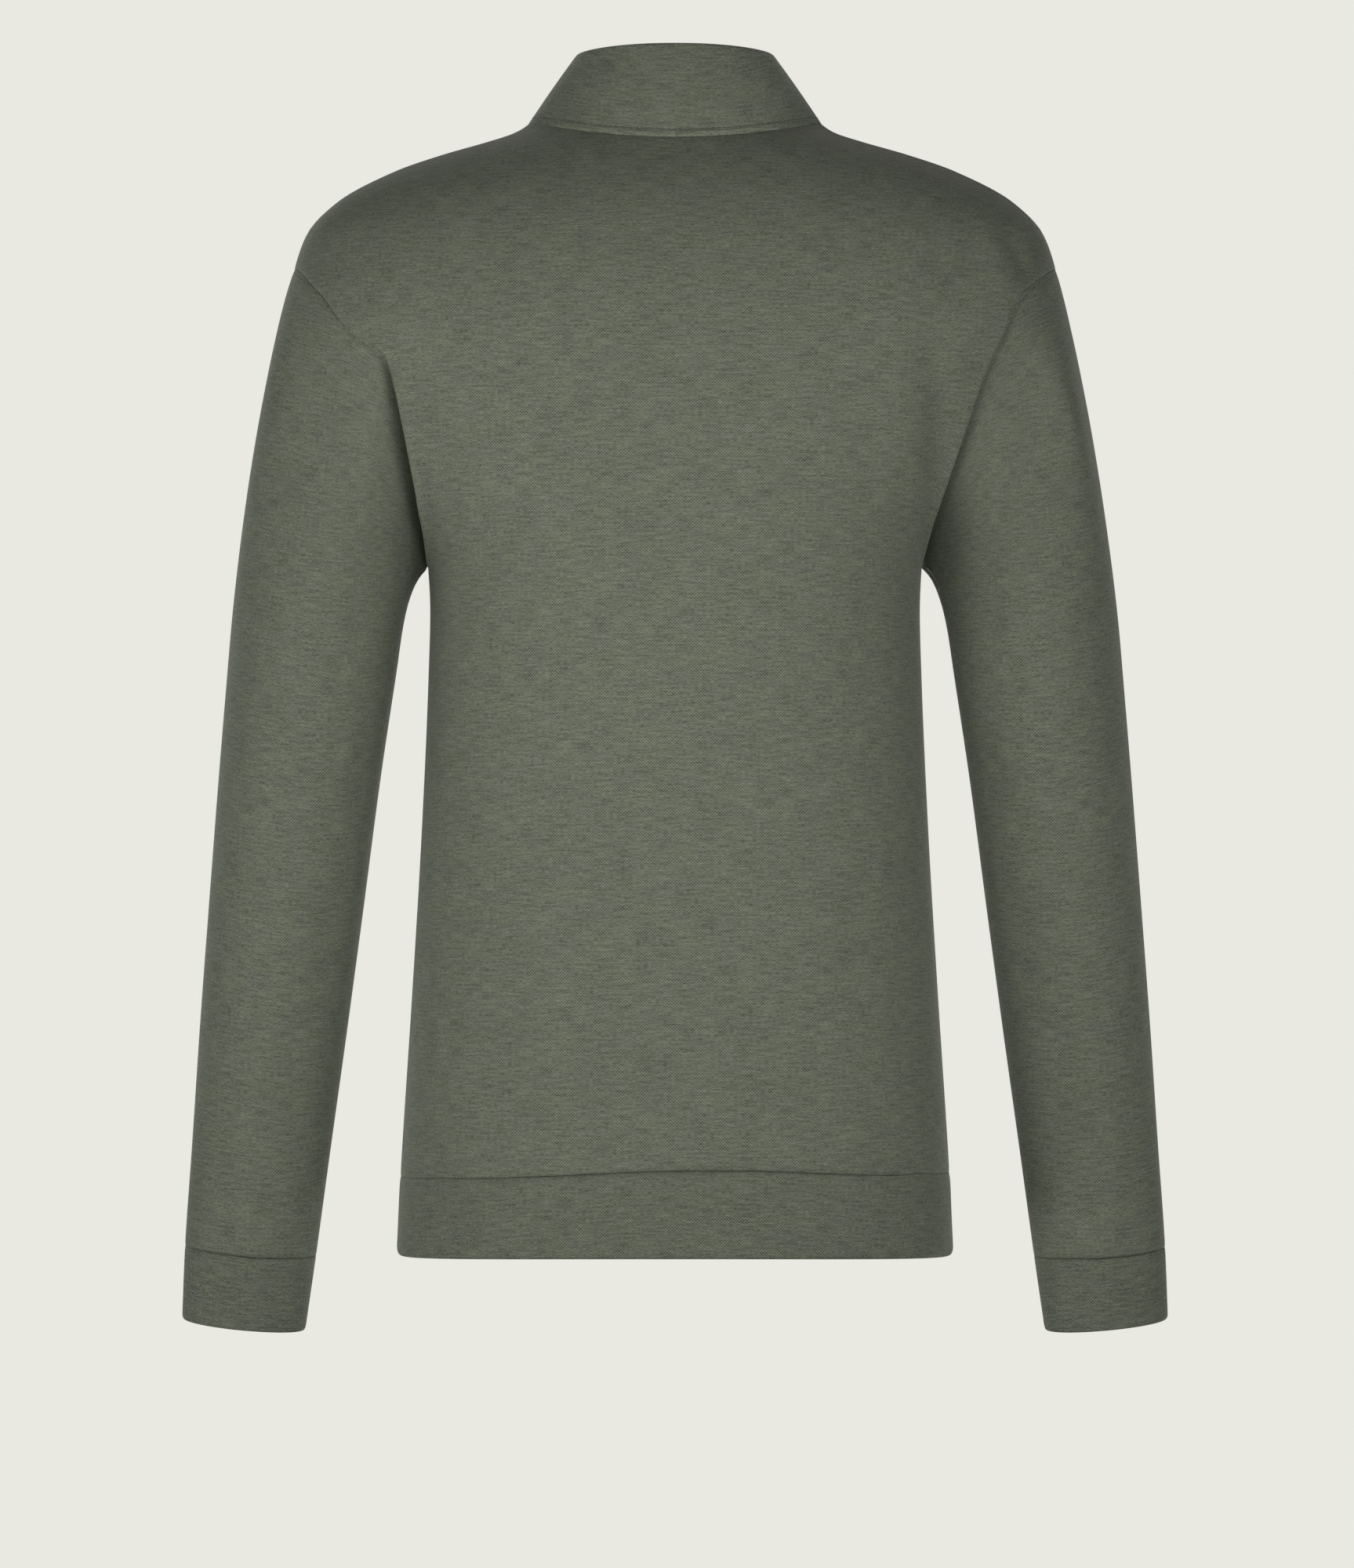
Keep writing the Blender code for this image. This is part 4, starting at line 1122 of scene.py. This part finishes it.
def hem_band(size):
    """The hem band, once round from the left side by the back."""
    half = mirrored(math.pi / 2 * shares(HEM_QUARTER, size["grid_step"]))
    halves = (half, half[::-1][1:])
    rows = []
    for share in shares(HEM_RUN, size["grid_step"] * BAND_GRID, SEAM_ROWS, SEAM_ROWS):
        ring = []
        for face, angle in zip(FACES, halves):
            upper, lower = hem_seam(angle, face)[..., 2], hem_edge(angle, face)[..., 2]
            ring.append(body_point(angle, upper + (lower - upper) * share, face))
        rows.append(np.concatenate(ring))
    points = np.array(rows)
    way_out = normal_by_face(points, (np.arange(len(points[0])) < len(half))[None, :, None])
    back_along, front_along = (unit(np.gradient(part, axis=0))
                               for part in (points[0, :len(half)], points[0, len(half) - 1:]))
    along = np.concatenate([back_along, front_along[1:]])
    share = band_share(np.cos(np.concatenate(halves)))
    placed = points.copy()
    placed[0] += pull_in(along, way_out[0], -UP, size["seam_gap"] * share)
    down, across = run_lengths(points, 0), run_lengths(points, 1)
    inset, left = folded_edge(down[-1:] - down, size["doubled_thickness"], size, HEM_FOLD)
    dip = seam_dip([down], size) * share
    swell = ripples(across, HEM_PUCKERS) * hump(down, HEM_PUCKER_WIDTH)
    moved = placed + way_out * (swell - inset - dip)[..., None]
    knit = flat_knit(across, -down, len(half) // 2)
    return Fabric(moved, -way_out * left[..., None], knit, True)


def collar_grid(turn, rows):
    """Points and ways out of the collar before its edges are finished, and its seam's frame."""
    base, along, _, collar_out, between = neck_frame(turn)
    rise = collar_edge(turn) - base
    swell = COLLAR_SWELL * np.sin(math.pi * rows)[:, None, None]
    points = base + rise * rows[:, None, None] + collar_out * swell
    way_out = tube_normals(points)
    way_out = way_out * np.sign(dot(way_out[2], collar_out)).mean()
    return points, way_out, (along, collar_out, between, rise)


def ridge_profile(above, across, size):
    """How far the collar stands out over its seam allowance, by the distance above its seam."""
    width, height = size["ridge_width"], size["ridge_height"]
    over = np.sin(math.pi * np.clip(above / width, 0, 1)) ** RIDGE_FULLNESS
    groove = GROOVE_DEPTH * np.exp(-(((above - width) / GROOVE_WIDTH) ** 2))
    return height * ((1 + ripples(across, RIDGE_RUMPLE)) * over - groove)


def collar(size):
    """The stand collar from the neck seam to its folded top edge."""
    thickness, step = size["doubled_thickness"], size["grid_step"] * COLLAR_GRID
    half = mirrored(math.pi / 2 * shares(COLLAR_QUARTER, step))
    turn = np.concatenate([half, (math.pi + half)[1:]])
    rows = shares(COLLAR_RUN, step, RIDGE_ROWS, SEAM_ROWS)
    points, way_out, (along, collar_out, between, rise) = collar_grid(turn, rows)
    placed = points.copy()
    placed[0] += pull_in(along, between, rise, size["seam_gap"] * NECK_GAP)
    up, across = run_lengths(points, 0), run_lengths(points, 1)
    inset, left = folded_edge(up[-1:] - up, thickness, size)
    swell = turned_creases(np.degrees(turn), up, COLLAR_CREASES, COLLAR_MM_PER_DEGREE)
    swell = swell + ridge_profile(up, across, size) * np.abs(np.cos(turn))
    dip = seam_dip([up], size) * neck_share(turn)
    moved = placed + way_out * (swell - inset - dip)[..., None]
    seam_step = mitre(between, collar_out, size["seam_depth"]) * neck_share(turn)[:, None]
    moved[0] = placed[0] - seam_step
    wall = -way_out * left[..., None]
    wall[0] = -mitre(between, collar_out, thickness)
    return Fabric(moved, wall, flat_knit(across, up, len(half) // 2), True)


def stitch_line(size):
    """Middles and directions of the stitches in the groove above the neck seam, once round."""
    turn = np.linspace(-math.pi / 2, 1.5 * math.pi, STITCH_PLACES)
    points, way_out, _ = collar_grid(turn, np.array(STITCH_ROWS))
    line = points[0] + unit(points[1] - points[0]) * size["ridge_width"]
    out = unit(way_out[0] + way_out[1])
    run = run_lengths(line[None], 1)[0]

    def along(places, values):
        return np.stack([np.interp(places, run, values[:, axis]) for axis in range(3)], axis=-1)

    count = round(run[-1] / size["stitch_pitch"])
    places = (np.arange(count) + 0.5) / count * run[-1]
    ahead = along(places + STITCH_STEP, line) - along(places - STITCH_STEP, line)
    return along(places, line), unit(ahead), unit(along(places, out))


# ---------------------------------------------------------------- materials
class Value:
    """One value of a material. Sums, products and the like of values add Math nodes."""

    def __init__(self, nodes, socket):
        self.nodes = nodes
        self.socket = socket

    def math(self, operation, *others):
        """A Math node of that operation on this value and others."""
        inputs = dict(enumerate((self, *others)))
        return self.nodes.add("Math", {"operation": operation}, inputs)

    def __add__(self, other):
        return self.math("ADD", other)

    def __mul__(self, other):
        return self.math("MULTIPLY", other)

    def __sub__(self, other):
        return self.math("SUBTRACT", other)

    def __rsub__(self, other):
        return self * -1 + other

    __radd__ = __add__
    __rmul__ = __mul__


class Nodes:
    """The node tree of one material."""

    def __init__(self, name):
        self.material = bpy.data.materials.new(name)
        self.material.use_nodes = True
        self.tree = self.material.node_tree
        self.shader = self.tree.nodes["Principled BSDF"]

    def add(self, kind, settings=None, inputs=None, output=0):
        """A node of that kind, its settings made first, and the value of one of its outputs."""
        node = self.tree.nodes.new("ShaderNode" + kind)
        for name, setting in (settings or {}).items():
            setattr(node, name, setting)
        for name, value in (inputs or {}).items():
            self.feed(node.inputs[name], value)
        return Value(self, node.outputs[output])

    def feed(self, socket, value):
        """Link a value into a socket, or set the socket."""
        if isinstance(value, Value):
            self.tree.links.new(value.socket, socket)
        else:
            socket.default_value = value

    def noise(self, place, across, along, detail, roughness):
        """Noise with that many cells a metre across and along the knit."""
        cells = (across, along, 1.0)
        stretched = self.add("VectorMath", {"operation": "MULTIPLY"}, {0: place, 1: cells})
        inputs = {"Vector": stretched, "Scale": 1.0, "Detail": detail, "Roughness": roughness}
        return self.add("TexNoise", {"noise_dimensions": "2D"}, inputs)

    def mix(self, share, first, second):
        """A colour between two others."""
        return self.add("Mix", {"data_type": "RGBA"}, {0: share, 6: first, 7: second}, output=2)

    def scaled(self, tint, brightness):
        """A colour made brighter or darker by a value."""
        return self.add("VectorMath", {"operation": "SCALE"}, {0: tint, "Scale": brightness})

    def spread(self, value, low, high):
        """A value taken from low..high to 0..1, and held there."""
        return self.add("MapRange", {"clamp": True}, {0: value, 1: low, 2: high, 3: 0.0, 4: 1.0})

    def finish(self, values):
        """Feed values into the shader, and hand over the material."""
        for name, value in values.items():
            self.feed(self.shader.inputs[name], value)
        return self.material


def knit_cloth(name, yarn, shade):
    """Melange pique: a diagonal bird's-eye of loops, flecked yarn, and warm and cool patches."""
    nodes = Nodes(name)
    place = nodes.add("UVMap", {"uv_map": "Knit"})
    across, along = (nodes.add("SeparateXYZ", inputs={0: place}, output=axis) for axis in (0, 1))
    turns = TAU / (yarn.knit_pitch * math.sqrt(2))
    falling = ((across + along) * turns).math("COSINE")
    rising = ((across - along) * turns).math("COSINE")
    lean = nodes.spread(nodes.noise(place, *LEAN_NOISE), *LEAN_SPREAD)
    loops = falling * (FALLING_LOOPS + LEAN * lean) + rising * (RISING_LOOPS - LEAN * lean)

    long_flecks, short_flecks, clouds = (
        nodes.noise(place, *noise) - 0.5 for noise in (LONG_FLECKS, SHORT_FLECKS, CLOUDS))
    flecks = long_flecks * yarn.streak_contrast + short_flecks * yarn.speck_contrast
    light = 1.0 + flecks + clouds * yarn.cloud_contrast + loops * yarn.knit_contrast
    # shade scales the colour to paint light and shade: brighter as painted light on the collar,
    # darker as painted shade on the cuffs and hem band
    brightness = light.math("MAXIMUM", DARKEST) * shade
    patches = nodes.spread(nodes.noise(place, *PATCHES), *PATCH_SPREAD)
    tint = nodes.mix(patches, (*yarn.olive, 1.0), (*yarn.slate, 1.0))
    relief = loops * LOOP_RELIEF + long_flecks * FLECK_RELIEF + short_flecks * FLECK_RELIEF
    return nodes.finish({
        "Base Color": nodes.scaled(tint, brightness),
        "Roughness": KNIT_ROUGHNESS - loops * LOOP_SHINE,
        "Normal": nodes.add("Bump", inputs={**KNIT_BUMP, "Height": relief}),
        **KNIT_SURFACE,
    })


def sewing_thread(name, yarn):
    """Twisted polyester thread, a little glossier than the knit."""
    nodes = Nodes(name)
    place = nodes.add("TexCoord", output=3)
    twist = nodes.add("TexNoise", inputs={"Vector": place, **THREAD_TWIST}) - 0.5
    return nodes.finish({
        "Base Color": nodes.scaled(tuple(yarn.thread), 1.0 + THREAD_CONTRAST * twist),
        "Roughness": THREAD_ROUGHNESS + THREAD_SHINE * twist,
    })


def pale_backdrop(name, tint):
    """Floor and wall that show one even colour."""
    return Nodes(name).finish({**BACKDROP_SURFACE, "Emission Color": (*tint, 1.0)})


def found_material(name, make, *facts):
    """The material of that name, made the first time it is asked for."""
    return bpy.data.materials.get(name) or make(name, *facts)


# ---------------------------------------------------------------- objects
def mesh_object(name, mesh, material):
    """A smooth object of a finished bmesh, with one material."""
    data = bpy.data.meshes.new(name)
    mesh.to_mesh(data)
    mesh.free()
    data.materials.append(material)
    data.shade_smooth()
    piece = bpy.data.objects.new(name, data)
    bpy.context.collection.objects.link(piece)
    return piece


def cloth_wall(name, fabric, material):
    """A closed wall of cloth: a grid laid on the fabric's points and drawn inwards."""
    rows, columns = fabric.points.shape[:2]
    mesh = bmesh.new()
    bmesh.ops.create_grid(mesh, x_segments=columns - 1, y_segments=rows - 1, size=0.5)
    inward = mesh.verts.layers.float_vector.new("inward")
    knit = mesh.loops.layers.uv.new("Knit")
    mesh.verts.index_update()
    spots = fabric.knit.reshape(-1, 2) * MM
    for face in mesh.faces:
        for loop in face.loops:
            loop[knit].uv = spots[loop.vert.index]
    walls = fabric.wall.reshape(-1, 3) * MM
    for vertex, point, way in zip(mesh.verts, fabric.points.reshape(-1, 3) * MM, walls):
        vertex.co = point
        vertex[inward] = way
    if fabric.closed:
        bmesh.ops.remove_doubles(mesh, verts=mesh.verts[:], dist=CLOTH_WELD)
    skin = bmesh.ops.extrude_face_region(mesh, geom=mesh.faces[:], use_keep_orig=True)
    for part in skin["geom"]:
        if isinstance(part, bmesh.types.BMVert):
            part.co += part[inward]
    bmesh.ops.recalc_face_normals(mesh, faces=mesh.faces[:])
    mesh.verts.layers.float_vector.remove(inward)
    piece = mesh_object(name, mesh, material)
    piece.data.set_sharp_from_angle(angle=math.radians(SHARP_ANGLE))
    return piece


def dress(context, node, fabric, slot):
    """Make a piece of cloth from its fabric and put it in its solid's place."""
    yarn = context.scene.sweatshirt_yarn
    # Painted light: the collar's copy of the knit is brighter than the panels' to stand in for the
    # light on it
    if node == "collar":
        kind, shade = "melange_collar_painted_light", yarn.collar_painted_light
    else:
        # Painted shade: the cuffs' and hem band's copy of the knit is darker than the panels';
        # panels and sleeves keep 1
        kind, shade = "melange_" + slot, yarn.trim_painted_shade if slot == "trim_knit" else 1.0
    piece = cloth_wall(node + "_cloth", fabric, found_material(kind, knit_cloth, yarn, shade))
    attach(piece, "root")
    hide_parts(node)
    return piece


class SWEATSHIRT_OT_panels(bpy.types.Operator):
    """Make the back and front panels"""

    bl_idname = "sweatshirt.panels"
    bl_label = "Panels"

    def execute(self, context):
        size = sizes_in_mm(context)
        for face in FACES:
            dress(context, face + "_panel", panel(face, size), "main_knit")
        return {"FINISHED"}


class SWEATSHIRT_OT_sleeves(bpy.types.Operator):
    """Make the two sleeves"""

    bl_idname = "sweatshirt.sleeves"
    bl_label = "Sleeves"

    def execute(self, context):
        size = sizes_in_mm(context)
        for side, name in ((-1, "sleeve_left"), (1, "sleeve_right")):
            dress(context, name, sleeve(side, size), "main_knit")
        return {"FINISHED"}


class SWEATSHIRT_OT_cuffs(bpy.types.Operator):
    """Make the two doubled cuffs"""

    bl_idname = "sweatshirt.cuffs"
    bl_label = "Cuffs"

    def execute(self, context):
        size = sizes_in_mm(context)
        for side, name in ((-1, "cuff_left"), (1, "cuff_right")):
            dress(context, name, cuff(side, size), "trim_knit")
        return {"FINISHED"}


class SWEATSHIRT_OT_hem_band(bpy.types.Operator):
    """Make the doubled hem band"""

    bl_idname = "sweatshirt.hem_band"
    bl_label = "Hem band"

    def execute(self, context):
        dress(context, "hem_band", hem_band(sizes_in_mm(context)), "trim_knit")
        return {"FINISHED"}


class SWEATSHIRT_OT_collar(bpy.types.Operator):
    """Make the stand collar and the row of stitches above its seam"""

    bl_idname = "sweatshirt.collar"
    bl_label = "Collar"

    def execute(self, context):
        size = sizes_in_mm(context)
        mesh = bmesh.new()
        thickness = size["stitch_thickness"]
        half = Vector((size["stitch_length"], thickness, thickness)) * MM / 2
        shape = Matrix.Diagonal(half).to_4x4()
        for middle, ahead, out in zip(*stitch_line(size)):
            turned = Matrix((ahead, np.cross(out, ahead), out)).transposed().to_4x4()
            place = Matrix.Translation(Vector(middle) * MM) @ turned @ shape
            bmesh.ops.create_icosphere(mesh, subdivisions=1, radius=1.0, matrix=place)
        thread = found_material("sewing_thread", sewing_thread, context.scene.sweatshirt_yarn)
        stitches = mesh_object("neck_topstitching", mesh, thread)
        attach(stitches, "root")
        dress(context, "collar", collar(size), "trim_knit")
        return {"FINISHED"}


def soft_lamp(name, turn, lift, distance, size, watts):
    """A soft square lamp that the camera doesn't see."""
    data = bpy.data.lights.new(name, "AREA")
    data.size = size
    data.energy = watts
    lamp = bpy.data.objects.new(name, data)
    turn, lift = math.radians(turn), math.radians(lift)
    level = math.cos(lift)
    ahead = Vector((math.sin(turn) * level, -math.cos(turn) * level, math.sin(lift)))
    lamp.location = Vector(LAMP_AIM) + ahead * distance
    lamp.rotation_euler = ahead.to_track_quat("Z", "Y").to_euler()
    lamp.visible_camera = False
    bpy.context.collection.objects.link(lamp)


class SWEATSHIRT_OT_studio(bpy.types.Operator):
    """Make the camera, the lamps and the pale floor and wall"""

    bl_idname = "sweatshirt.studio"
    bl_label = "Studio"

    def execute(self, context):
        studio = context.scene.sweatshirt_studio
        middle_x = (PICTURE_WIDTH / 2 - MIDDLE_COLUMN) * studio.pixel_size
        middle_z = (NECK_ROW - PICTURE_HEIGHT / 2) * studio.pixel_size
        data = bpy.data.cameras.new("camera")
        data.sensor_width = SENSOR_WIDTH
        data.lens = SENSOR_WIDTH * studio.camera_distance / (PICTURE_HEIGHT * studio.pixel_size)
        data.clip_end = FARTHEST_SEEN
        camera = bpy.data.objects.new("camera", data)
        camera.location = (middle_x, -studio.camera_distance, middle_z)
        camera.rotation_euler = (math.pi / 2, 0.0, 0.0)
        context.collection.objects.link(camera)
        context.scene.camera = camera

        for name, turn, lift, distance, size, watts, mirrored in LAMPS:
            watts = watts * studio.lamp_power
            soft_lamp(name, turn, lift, distance, size, watts)
            if mirrored:
                soft_lamp(name + "_far", 180.0 - turn, lift, distance, size, watts)
        world = context.scene.world or bpy.data.worlds.new("world")
        context.scene.world = world
        world.use_nodes = True
        air = world.node_tree.nodes["Background"]
        air.inputs["Color"].default_value = (1.0, 1.0, 1.0, 1.0)
        air.inputs["Strength"].default_value = studio.air_light
        context.scene.view_settings.view_transform = "Standard"

        backdrop = pale_backdrop("pale_floor", studio.backdrop)
        floor = mesh_object("floor", pale_dome(studio), backdrop)
        floor.visible_diffuse = False
        floor.visible_glossy = False
        floor.visible_shadow = False
        return {"FINISHED"}


def pale_dome(studio):
    """A round floor that sweeps up into a wall and closes over the garment."""
    radius, low = studio.dome_radius, studio.floor_height
    floor, sweep = (1 - SWEEP) * radius, SWEEP * radius
    quarter = [math.pi / 2 * step / DOME_STEPS for step in range(1, DOME_STEPS + 1)]
    profile = [(0.0, low), (floor, low)]
    profile += [(floor + sweep * math.sin(rise), low + sweep * (1 - math.cos(rise)))
                for rise in quarter]
    profile += [(radius * math.cos(rise), low + sweep + radius * math.sin(rise))
                for rise in quarter]
    mesh = bmesh.new()
    corners = [mesh.verts.new((across, 0.0, height)) for across, height in profile]
    edges = [mesh.edges.new(pair) for pair in zip(corners, corners[1:])]
    bmesh.ops.spin(mesh, geom=corners + edges, axis=(0, 0, 1), cent=(0, 0, 0), angle=TAU,
                   steps=DOME_SIDES, use_merge=True)
    bmesh.ops.remove_doubles(mesh, verts=mesh.verts[:], dist=DOME_WELD)
    bmesh.ops.recalc_face_normals(mesh, faces=mesh.faces[:])
    bmesh.ops.reverse_faces(mesh, faces=mesh.faces[:])
    return mesh


class SWEATSHIRT_PT_pieces(bpy.types.Panel):
    """The sweatshirt's pieces, sizes and colours"""

    bl_idname = "SWEATSHIRT_PT_pieces"
    bl_label = "Sweatshirt"
    bl_space_type = "VIEW_3D"
    bl_region_type = "UI"
    bl_category = "Sweatshirt"

    def draw(self, context):
        for operator in OPERATORS:
            self.layout.operator(operator.bl_idname)
        for store, group in GROUPS.items():
            box = self.layout.box()
            for name in group.__annotations__:
                box.prop(getattr(context.scene, store), name)


GROUPS = {
    "sweatshirt_cloth": SweatshirtCloth,
    "sweatshirt_yarn": SweatshirtYarn,
    "sweatshirt_studio": SweatshirtStudio,
}
OPERATORS = (
    SWEATSHIRT_OT_panels,
    SWEATSHIRT_OT_sleeves,
    SWEATSHIRT_OT_cuffs,
    SWEATSHIRT_OT_hem_band,
    SWEATSHIRT_OT_collar,
    SWEATSHIRT_OT_studio,
)


def register():
    """Add the property groups, operators and panel."""
    for kind in (*GROUPS.values(), *OPERATORS, SWEATSHIRT_PT_pieces):
        bpy.utils.register_class(kind)
    for store, group in GROUPS.items():
        setattr(bpy.types.Scene, store, bpy.props.PointerProperty(type=group))


def unregister():
    """Take them away again."""
    for store in GROUPS:
        delattr(bpy.types.Scene, store)
    for kind in reversed((*GROUPS.values(), *OPERATORS, SWEATSHIRT_PT_pieces)):
        bpy.utils.unregister_class(kind)


def main():
    """Build the sweatshirt and the studio."""
    register()
    bpy.ops.sweatshirt.panels()
    bpy.ops.sweatshirt.sleeves()
    bpy.ops.sweatshirt.cuffs()
    bpy.ops.sweatshirt.hem_band()
    bpy.ops.sweatshirt.collar()
    bpy.ops.sweatshirt.studio()


if __name__ == "__main__":
    main()
